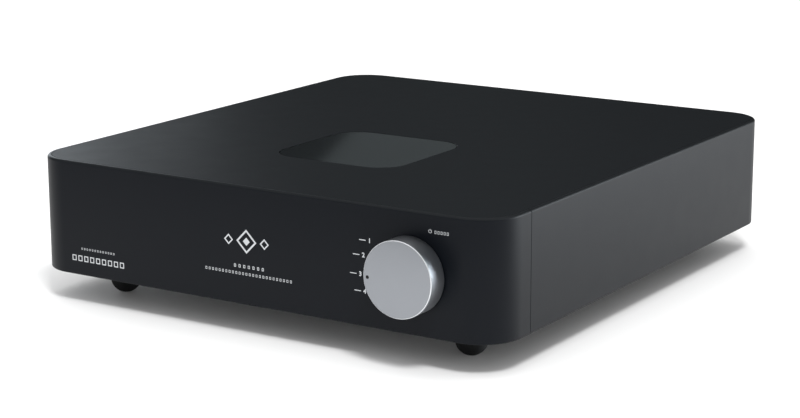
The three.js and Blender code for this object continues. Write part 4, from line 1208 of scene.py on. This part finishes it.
# %% Board plates
for board, name in zip(BOARDS, ("tube_circuit", "power_circuit", "converter_circuit")):
    low, high = BOARDS[board]
    middle = (low + high) / 2
    loops = [rounded(high.x - low.x, high.y - low.y, 2, middle.x, middle.y, 4)]
    loops += [round_hole(1.6, x, y, 16) for x, y in fixings(board)]
    flat(board, name, solder_mask, loops, 0.1, "circuit_board")
middle = middle_of("front_board")
loops = [rounded(64, 46, 2, middle.x, middle.z, 4)]
loops += [round_hole(1.6, KNOB_X + dx, KNOB_Z + dz, 16) for dx in (-28, 24) for dz in (-17, 17)]
flat("front_board", "front_circuit", solder_mask, loops, 0.1, "circuit_board", "y")

# %% Patterns of the small parts
chip_black = grained("chip_black", "1a1b1d", 0.55, 0.0, 0.1, 0.000004, 0.1)
beige = grained("resistor_beige", "c9ad7c", 0.45, 0.0, 0.08, 0.000005, 0.2)
film_red = grained("film_capacitor_red", "8c2020", 0.35, 0.0, 0.08, 0.000008, 0.4)
sleeve_blue = grained("sleeve_blue", "1a2430", 0.4, 0.0, 0.12, 0.000008, 0.6)
tinned = grained("tinned_leads", "c8cacb", 0.3, 1.0, 0.05, 0.000002, 0.2)


def resistor():
    """A moulded resistor with its two leads, lying along X on the origin."""
    body = [(0, -3.1), (0.9, -3.0), (1.15, -2.6), (1.15, -1.9), (0.95, -1.5), (0.95, 1.5), (1.15, 1.9)]
    body += [(1.15, 2.6), (0.9, 3.0), (0, 3.1)]
    part = Piece("resistor", beige).turned(body, (0, 0, 1.3), "x", 12)
    for side in (-1, 1):
        part.turned(rod(0.3, side * 3, side * 5), (0, 0, 1.3), "x", 6)
        part.block((side * 5 - 0.3, -0.3, 0), (side * 5 + 0.3, 0.3, 1.6))
    return part


def chip(width, depth, legs):
    """A flat chip with gull-wing legs on two sides."""
    part = Piece("chip", chip_black)
    part.block((-width / 2, -depth / 2, 0.1), (width / 2, depth / 2, 1.6), 0.15, 1)
    for i in range(legs):
        x = (i - (legs - 1) / 2) * width * 0.9 / legs
        for side in (-1, 1):
            inner, outer = sorted((side * depth / 2, side * (depth / 2 + 1)))
            part.block((x - 0.2, inner, 0), (x + 0.2, outer, 0.35))
    return part


# %% Small parts on their boards
def at(board, *places):
    return [(x, y, BOARDS[board][1].z) for x, y in places]


TUBE_PLACES = [(x, WINDOW_Y + y) for x in (-34, -22, -10, 2, 14, 26) for y in (-22, 22)]
TUBE_PLACES += [(0, WINDOW_Y + y) for y in (-9, -3, 3, 9)]
DAC_PLACES = [(30 + 14 * i, 96 + 5 * j) for i in range(4) for j in range(3)]
DAC_PLACES += [(126, y) for y in range(112, 149, 6)]
POWER_PLACES = [(-146 + 14 * i, -52) for i in range(6)] + [(-84, y) for y in (-84, -78, -72, -66)]
points = at("tube_board", *TUBE_PLACES) + at("dac_board", *DAC_PLACES) + at("power_board", *POWER_PLACES)
copies(on_points, "resistors", resistor(), points)
points = at("dac_board", (24, 140), (52, 140), (84, 140), (84, 118), (108, 100))
copies(on_points, "converter_chips", chip(10, 7.5, 7), points)
board_back = box("front_board")[1].y
points = [(KNOB_X + x, board_back, KNOB_Z + z) for x, z in ((-22, 0), (14, 12), (14, -12))]
copies(on_points, "front_chips", chip(6, 5, 4), points, Facing=BACKWARDS)
points = at("dac_board", (14, 120), (14, 104), (60, 122), (70, 122), (108, 124), (108, 136), (140, 100))
points += at("power_board", (-74, -30), (-74, -14), (-146, -34), (-146, -18))
points += at("tube_board", (-38, WINDOW_Y), (38, WINDOW_Y))
body = [(0, 0), (4, 0), (4, 1.44), (3.6, 1.8), (4, 2.4), (4, 11.6), (3.6, 12), (2.8, 11.8), (0, 11.8)]
small_can = Piece("small_can", sleeve_blue).turned(body, segments=20)
copies(on_points, "small_capacitors", small_can, points, "can_sleeve")
points = at("dac_board", (40, 118), (40, 104), (126, 98))
points += at("power_board", (-110, -34), (-110, -18), (-92, -34))
film_block = Piece("film_block", film_red).block((-6.5, -3, 0), (6.5, 3, 11), 0.8, 2)
copies(on_points, "film_capacitors", film_block, points, "red_plastic")

HEADER_X = 108
DAC_TOP = BOARDS["dac_board"][1].z
dac_edge = BOARDS["dac_board"][0].y
headers = Piece("ribbon_headers", moulded)
for y0, y1, z0, z1 in (
    (dac_edge + 3, dac_edge + 9, DAC_TOP, DAC_TOP + 6),
    (board_back, board_back + 4, 40, 48),
):
    headers.block((HEADER_X - 10, y0, z0), (HEADER_X + 10, y1, z1), 0.4)
headers.place("black_plastic")

# %% [markdown]
# ## The tubes and their sockets
# Each tube is a glass bulb with a sealing tip, a bright patch of getter inside its top, mica discs, two
# dark plates and nine pins. The pins and contacts stand on a ring, which one tree makes from its count.

# %% Shapes of a tube
ceramic = grained("pale_ceramic", "e6e2d6", 0.55, 0.0, 0.05, 0.00001, 0.4, Specular_IOR_Level=0.5)
getter = grained("getter_flash", "9a9ca0", 0.12, 1.0, 0.3, 0.000002, 2.0)
mica = grained("mica", "d8d4c4", 0.3, 0.0, 0.08, 0.000004, 1.0)
plate_grey = grained("anode_grey", "4a4b4d", 0.5, 0.7, 0.12, 0.00001, 0.3)
PINS = {"Count": 9, "Radius": 5.95 * MM}
low, high = box("signal_tube_left")
BULB = (high.x - low.x) / 2
HEIGHT = high.z - low.z
outer = [(0, 0.2), (BULB - 1.4, 0), (BULB - 0.4, 0.4), (BULB, 1.4), (BULB, HEIGHT - 10)]
outer += [(BULB * c, HEIGHT - 10 + 6 * s) for c, s in arc(1.0, 13, 78, 5)]
outer += [(1.9, HEIGHT - 3.2), (1.4, HEIGHT - 1.6), (0.7, HEIGHT - 0.3), (0, HEIGHT)]
dome = [((BULB - 0.8) * c, HEIGHT - 10.4 + 5.6 * s) for c, s in arc(1.0, 14, 84, 5)]
inner = [(0, 1.6), (BULB - 1.6, 1.4), (BULB - 0.9, 2.2), (BULB - 0.8, HEIGHT - 10)]
inner += [*dome, (0, HEIGHT - 4.7)]
flash = [(r - 0.12, h - 0.1) for r, h in dome] + [(r - 0.35, h - 0.3) for r, h in dome][::-1]
hoop = circle(0.4, 3.2, 36, 8)

# %% Sockets and tubes
for side in ("left", "right"):
    low, high = box(f"tube_socket_{side}")
    base = middle_of(f"signal_tube_{side}")
    base.z = low.z
    top = high.z - low.z
    body = [(2.6, 0), (10.6, 0), (11.0, 0.4), (11.0, 2.4), (10.2, 3.0), (10.2, top - 0.6), (9.6, top)]
    body += [(3.2, top), (2.6, top - 0.6)]
    socket = Piece(f"ceramic_socket_{side}", ceramic).turned(body, base, "z", 48, closed=True)
    socket.place("pale_ceramic", f"tube_socket_{side}")
    sleeve = [(0.5, -2.0), (0.9, -2.0), (0.9, 0.15), (0.7, 0.15), (0.5, -0.2)]
    contact = Piece("contact", gold).turned(sleeve, segments=10, closed=True)
    copies(on_a_ring, f"socket_contacts_{side}", contact, [(base.x, base.y, high.z)], **PINS)
    base.z = box(f"signal_tube_{side}")[0].z
    bulb = Piece(f"tube_bulb_{side}", clear_glass).turned(outer, base, "z", 40)
    bulb.turned(inner, base, "z", 40).place("clear_glass", f"signal_tube_{side}")
    works = Piece(f"tube_works_{side}", plate_grey, mica, getter)
    for dx in (-4.0, 4.0):
        oval = rounded(6.0, 8.6, 2.2, base.x + dx, base.y, 6)
        works.plate([oval], base.z + 11, base.z + 31, 0.4)
        for dy in (-4.9, 4.9):
            rail = (base + Vector((dx - 0.4, dy - 0.6, 11.5)), base + Vector((dx + 0.4, dy + 0.6, 30.5)))
            works.block(*rail, 0.1)
        works.turned(rod(0.7, 6, 34), base + Vector((dx, 0, 0)), "z", 12)
    for height in (9.5, 31.6):
        disc = round_hole(8.9, base.x, base.y, 24)
        works.plate([disc], base.z + height, base.z + height + 0.5, 0.1, wears=1)
    works.turned(hoop, base, "z", 24, closed=True)
    works.turned(flash, base, "z", 40, closed=True, wears=2).place("zinc_steel")
    pin = Piece("pin", tinned).turned([(0, -5.5), (0.5, -5.2), (0.5, 0.6), (0, 0.6)], segments=10)
    copies(on_a_ring, f"tube_pins_{side}", pin, [base], **PINS)

# %% [markdown]
# ## The power supply
# A toroidal transformer is wound with overlapping amber tape. Each turn of tape is a thin band round the
# ring that rises a little over the one before, and a tree copies it round the axis.

# %% Tape
winding_low, winding_high = box("mains_transformer")
WINDING = middle_of("mains_transformer")
tape = Finish("winding_tape", "c7912c", 0.28, 0.0, Specular_IOR_Level=0.6)
tape_place = tape.place(*WINDING)
crinkle = tape.noise(tape_place, 260.0, 4.0)
tape.shades(crinkle * 0.4 + tape.noise(tape_place, 40.0, 3.0) * 0.6, 0.3)
tape.wire("Roughness", crinkle * 0.2 + 0.2)
tape.bump(crinkle, 0.00008)

# %% Winding
TURNS = 56
HALF_TURN = 180 / TURNS * 1.35
HOLE = 15
OUTER = (winding_high.x - winding_low.x) / 2
tape_section = rounded(OUTER - HOLE, winding_high.z - winding_low.z, 6, (OUTER + HOLE) / 2, 0.0, 5)
sections = []
for side, grow in ((-1, -1.2), (-1, -0.5), (1, -0.05), (1, -0.7)):
    c, s = arc(1.0, side * HALF_TURN, 0, 1)[0]
    sections.append([(r * c, r * s, z) for r, z in tape_section(grow)])
band = Piece("band", tape).loft(sections, wrap=True)
settings = {"Count": TURNS, "Radius": 0.0}
copies(on_a_ring, "taped_winding", band, [WINDING], "winding_tape", "mains_transformer", **settings)

# %% Pad, clamp, stud and nut
AT_WINDING = (WINDING.x, WINDING.y)
ON_WINDING = (*AT_WINDING, 0.0)
loops = [round_hole(44, *AT_WINDING, 64), round_hole(3.3, *AT_WINDING, 24)]
flat("transformer_pad", "rubber_pad", rubber, loops, 0.4, "foot_rubber")
low, high = box("transformer_clamp")
top = high.z
dish = [(3.3, low.z), (20, low.z), (24, low.z + 0.5), (31, low.z + 0.5), (32, top - 0.6), (31, top)]
dish += [(24, top), (20, top - 0.6), (3.3, top - 0.6)]
clamp = Piece("dished_clamp", zinc).turned(dish, ON_WINDING, "z", 64, closed=True)
clamp.place("zinc_steel", "transformer_clamp")
profile = [(0, bolt_low.z), (5.6, bolt_low.z), (6, bolt_low.z + 0.4), (6, BASE_TOP), (3, BASE_TOP)]
profile += [(3, top), *thread(3, top, bolt_high.z - 0.3), (0, bolt_high.z)]
stud = Piece("threaded_stud", zinc).turned(profile, ON_WINDING, "z", 32)
stud.place("zinc_steel", "transformer_bolt")
loops = [hexagon(11.6, *AT_WINDING), round_hole(3.1, *AT_WINDING, 24)]
flat("transformer_nut", "stud_nut", zinc, loops, 0.5, "zinc_steel")

# %% Smoothing capacitors
CANS = ("smoothing_capacitor_1", "smoothing_capacitor_2")
low, high = box(CANS[0])
RADIUS = (high.x - low.x) / 2
HEIGHT = high.z - low.z
can_points = [(middle_of(can).x, middle_of(can).y, box(can)[0].z) for can in CANS]
profile = [(0, 0), (RADIUS - 0.6, 0), (RADIUS, 0.6), (RADIUS, 3), (RADIUS - 1.1, 3.9), (RADIUS, 4.8)]
profile += [(RADIUS, HEIGHT - 1.2), (RADIUS - 0.8, HEIGHT), (RADIUS - 2, HEIGHT)]
profile += [(RADIUS - 2, HEIGHT - 0.6), (0, HEIGHT - 0.6)]
sleeve = Piece("sleeve", sleeve_blue).turned(profile)
copies(on_points, "capacitor_sleeves", sleeve, can_points, "can_sleeve", *CANS)
can_top = Piece("can_top", zinc)
for turn in (0, 90, 180, 270):
    tip = arc(0.35, turn + 45, 0, 1)[0]
    quarter = traced([tip, *arc(RADIUS - 2.1, turn + 2.292, turn + 87.708, 8)])
    can_top.plate([quarter], HEIGHT - 0.62, HEIGHT - 0.3, 0.03)
copies(on_points, "capacitor_tops", can_top, can_points)
levels = ((5.4, 0.0), (5.4, 0.06), (HEIGHT - 1.6, 0.06), (HEIGHT - 1.6, 0.0))
sections = []
for c, s in arc(1.0, -110, -70, 10):
    sections.append([((RADIUS + out) * c, (RADIUS + out) * s, z) for z, out in levels])
stripe = Piece("stripe", ivory).loft(sections, caps=True)
copies(on_points, "capacitor_stripes", stripe, can_points)

# %% Heatsink and regulators
low, high = box("regulator_heatsink")
FIN = 1.6
sink = Piece("heatsink_base", anodised).block(low, (high.x, low.y + 3, high.z), 0.3)
sink.place("anodised_black", "regulator_heatsink")
fin = Piece("fin", anodised).block((0, 0, 0), (FIN, high.y - low.y - 2.8, high.z - low.z), 0.3, 1)
spacing = ((high.x - low.x - FIN) / 9 * MM, 0.0, 0.0)
start = [(low.x, low.y + 2.8, low.z)]
copies(in_a_row, "heatsink_fins", fin, start, "anodised_black", Count=10, Step=spacing)
regulator = Piece("regulator", chip_black).block((-5, -4.4, 6), (5, -0.6, 15), 0.4)
regulator.block((-5, -1.5, 6), (5, -0.2, 21), 0.2)
for dx in (-2.54, 0, 2.54):
    regulator.block((dx - 0.4, -2.6, 0), (dx + 0.4, -2.1, 6.2))
start = [(low.x + 14, low.y, low.z)]
copies(in_a_row, "regulators", regulator, start, Count=3, Step=(25 * MM, 0.0, 0.0))

# %% [markdown]
# ## Wiring
# The ribbon is sixteen thin wires side by side, and one tree sweeps them all, because a guide mesh may
# hold many lines. The mains and secondary leads are twisted pairs, so their guides are helices.

# %% Ribbon cable
ribbon_grey = grained("ribbon_grey", "8b8f94", 0.5, 0.0, 0.06, 0.000005, 0.5)
back = board_back + 0.3
ROUTE = [(back + 0.6, 44), (back + 4, 38), (back + 12, 30), (back + 60, 27), (back + 170, 27)]
ROUTE += [(dac_edge - 14, 31), (dac_edge - 2, DAC_TOP + 4.3), (dac_edge + 4, DAC_TOP + 4.3)]
runs = [[(HEADER_X + number - 7.5, y, z) for y, z in ROUTE] for number in range(16)]
wires("ribbon_wires", runs, 0.52, ribbon_grey, "grey_cable", "ribbon_cable", Sides=8, Steps=48)


# %% Twisted pairs
def smooth_path(points, steps=12):
    """Points along a Catmull-Rom curve through the given ones."""
    ends = [points[0] * 2 - points[1], *points, points[-1] * 2 - points[-2]]
    path = []
    for a, b, c, d in zip(ends, ends[1:], ends[2:], ends[3:]):
        for step in range(steps):
            t = step / steps
            curve = (2 * a - 5 * b + 4 * c - d) * t**2 + (3 * b - a - 3 * c + d) * t**3
            path.append((2 * b + (c - a) * t + curve) / 2)
    return path + [points[-1]]


def twisted(points, offset, pitch, start):
    """One strand of a twisted lead."""
    path = smooth_path([Vector(p) for p in points])
    strand = []
    travelled = 0.0
    sideways = Vector((0.0, 0.0, 1.0))
    for i, here in enumerate(path):
        along = (path[min(i + 1, len(path) - 1)] - path[max(i - 1, 0)]).normalized()
        sideways = (sideways - along * sideways.dot(along)).normalized()
        angle = start + 2 * math.pi * travelled / pitch
        turn = sideways * math.cos(angle) + along.cross(sideways) * math.sin(angle)
        strand.append(here + turn * offset)
        if i + 1 < len(path):
            travelled += (path[i + 1] - here).length
    return strand


x, y, z = INLET.x, inlet_low.y - GAP, INLET.z
mains = [(x + 6, y - 2.5, z + 6), (x + 14, y - 4.5, z + 14), (x + 28, y - 2, z + 16)]
mains += [(ROCKER.x - 3, y + 3, z + 9), (ROCKER.x, rocker_low.y - 2.5, z + 2)]
x, y = WINDING.x, winding_low.y
secondary = [(x, y - 2.5, 44), (x + 2, y - 6.3, 50), (x + 10, y - 12.3, 52), (x + 38, y - 14.3, 46)]
secondary.append((x + 40, y - 20.3, 38))
for name, route, start, colour, slot, *stands_for in (
    ("mains_lead_blue", mains, 0.0, "223a5e", "blue_cable", "mains_wiring"),
    ("mains_lead_brown", mains, math.pi, "4a2c1c", "blue_cable"),
    ("secondary_lead_red", secondary, 0.0, "a01a1a", "red_plastic", "secondary_wiring"),
    ("secondary_lead_black", secondary, math.pi, "161616", "black_plastic"),
):
    insulation = grained(f"{name.split('_')[-1]}_wire", colour, 0.45, 0.0, 0.08, 0.000005, 0.5)
    strand = twisted(route, 0.9, 11, start)
    wires(name, [strand], 0.85, insulation, slot, *stands_for, Steps=90, Sides=10)

# %% [markdown]
# ## The room
# A white table, a wide soft light overhead and a few dim cards. Black metal shows only what it reflects,
# so each card is there for one face: the right side, the far end of the lid and the window.

# %% Table
table_finish = Finish("white_table", "f4f4f4", 0.7, 0.0, Specular_IOR_Level=0.1)
table_finish.shades(table_finish.noise(table_finish.place(), 3.0), 0.01)
table = Piece("table", table_finish).plate([rounded(24000, 24000, 6000)], -20, 0.0, 1)
linked("table", table.mesh())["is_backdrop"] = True


# %% Lights
def light(name, place, width, height, power, unseen=None, tint=(1.0, 1.0, 1.0)):
    """A rectangular light. unseen is the kind of ray that it doesn't reach."""
    lamp = bpy.data.lights.new(name, "AREA")
    lamp.shape = "RECTANGLE"
    lamp.size = width
    lamp.size_y = height
    lamp.energy = power
    lamp.color = tint
    card = linked(name, lamp)
    card.matrix_world = place
    if unseen:
        setattr(card, f"visible_{unseen}", False)
    return card


def aimed(*place):
    """A place in the room, turned towards the machine."""
    place = Vector(place)
    towards = Vector((0.0, MIDDLE * MM, 0.05)) - place
    return Matrix.Translation(place) @ towards.to_track_quat("-Z", "Y").to_matrix().to_4x4()


CARD_TINT = (0.88, 0.945, 1.0)
light("overhead", aimed(-0.3, 0.3, 2.6), 2.6, 2.6, 20.0)
light("key", aimed(1.2, -1.2, 2.6), 0.6, 0.6, 51.0, "glossy")
light("fill", aimed(0.0, 0.0, 2.6), 1.0, 1.0, 2.2, "glossy").data.use_shadow = False
light("right_card", aimed(2.2, 1.9, 0.7), 1.6, 1.4, 136.0, "diffuse", CARD_TINT)
left_cards = [
    light("left_card", aimed(-2.6, 1.7, 0.6), 1.2, 1.2, 21.0, "diffuse", CARD_TINT),
    light("left_glow", aimed(-2.6, 1.7, 0.6), 1.8, 1.4, 8.0, "diffuse", CARD_TINT),
]
light("knob_card", aimed(2.8, -0.1, 1.9), 0.8, 0.8, 18.0, "diffuse", CARD_TINT)

# The cards on the left are bright for the lid's sake, and the polished window would mirror them as white.
spared = bpy.data.collections.new("spared_by_left_cards")
spared.objects.link(window_pane)
spared.collection_objects[0].light_linking.link_state = "EXCLUDE"
for card in left_cards:
    card.light_linking.receiver_collection = spared

# %% [markdown]
# The window mirrors a dim card that stands behind the machine, and the slanted edge of that card crosses
# the glass. So the card is placed by its edge: on a plane three metres away, square to the view over the
# window, with its lower left side along the line that the glass shows.

# %% Window cards
VIEW = math.radians(33.2)
AWAY = Vector((-math.sin(VIEW), math.cos(VIEW), 0.0))
ACROSS = Vector((math.cos(VIEW), math.sin(VIEW), 0.0))
UPWARDS = Vector((0.0, 0.0, 1.0))
WINDOW_TINT = (0.85, 0.97, 1.0)
CARD_PLANE = Vector((0.0, WINDOW_Y * MM, 0.0)) + AWAY * 3.0


def window_card(name, edge, slant, width, length, power):
    """A card whose one long edge passes through a point (across, up) of the plane, at a slant."""
    across = ACROSS * math.cos(slant) + UPWARDS * math.sin(slant)
    middle = CARD_PLANE + ACROSS * edge[0] + UPWARDS * edge[1] + across * (width / 2)
    turn = Matrix((across, AWAY.cross(across), AWAY)).transposed().to_4x4()
    light(name, Matrix.Translation(middle) @ turn, width, length, power, "diffuse", WINDOW_TINT)


window_card("window_card", (-0.0835, 0.703), math.radians(42.8), 0.5, 0.9, 0.2)
window_card("window_glow", (-0.6, 0.7), 0.0, 1.8, 1.4, 0.2)

world = bpy.data.worlds.new("room")
world.use_nodes = True
world.node_tree.nodes["Background"].inputs["Color"].default_value = (1.0, 1.0, 1.0, 1.0)
world.node_tree.nodes["Background"].inputs["Strength"].default_value = 0.85
world.cycles_visibility.glossy = False
bpy.context.scene.world = world

# %% [markdown]
# ## The camera
# A long lens stands a little above the lid, to the right of the front.

# %% Camera
AZIMUTH = math.radians(32.68)
ELEVATION = math.radians(13.31)
ROLL = math.radians(-0.173)
right = Vector((math.cos(AZIMUTH), math.sin(AZIMUTH), 0.0))
front = Vector((math.sin(AZIMUTH), -math.cos(AZIMUTH), 0.0))
back = front * math.cos(ELEVATION) + UPWARDS * math.sin(ELEVATION)
up = back.cross(right)
rolled_right = right * math.cos(ROLL) + up * math.sin(ROLL)
rolled_up = up * math.cos(ROLL) - right * math.sin(ROLL)
camera = linked("camera", bpy.data.cameras.new("camera"))
camera.data.lens = 93.63
camera.data.sensor_width = 36.0
turn = Matrix((rolled_right, rolled_up, back)).transposed().to_4x4()
camera.matrix_world = Matrix.Translation((0.73857, -1.16687, 0.37003)) @ turn
bpy.context.scene.camera = camera
bpy.context.scene.view_settings.view_transform = "Standard"

# %% The box of what is shown
low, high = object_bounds()
print("visual box", [round(v, 4) for v in (*low, *high)])
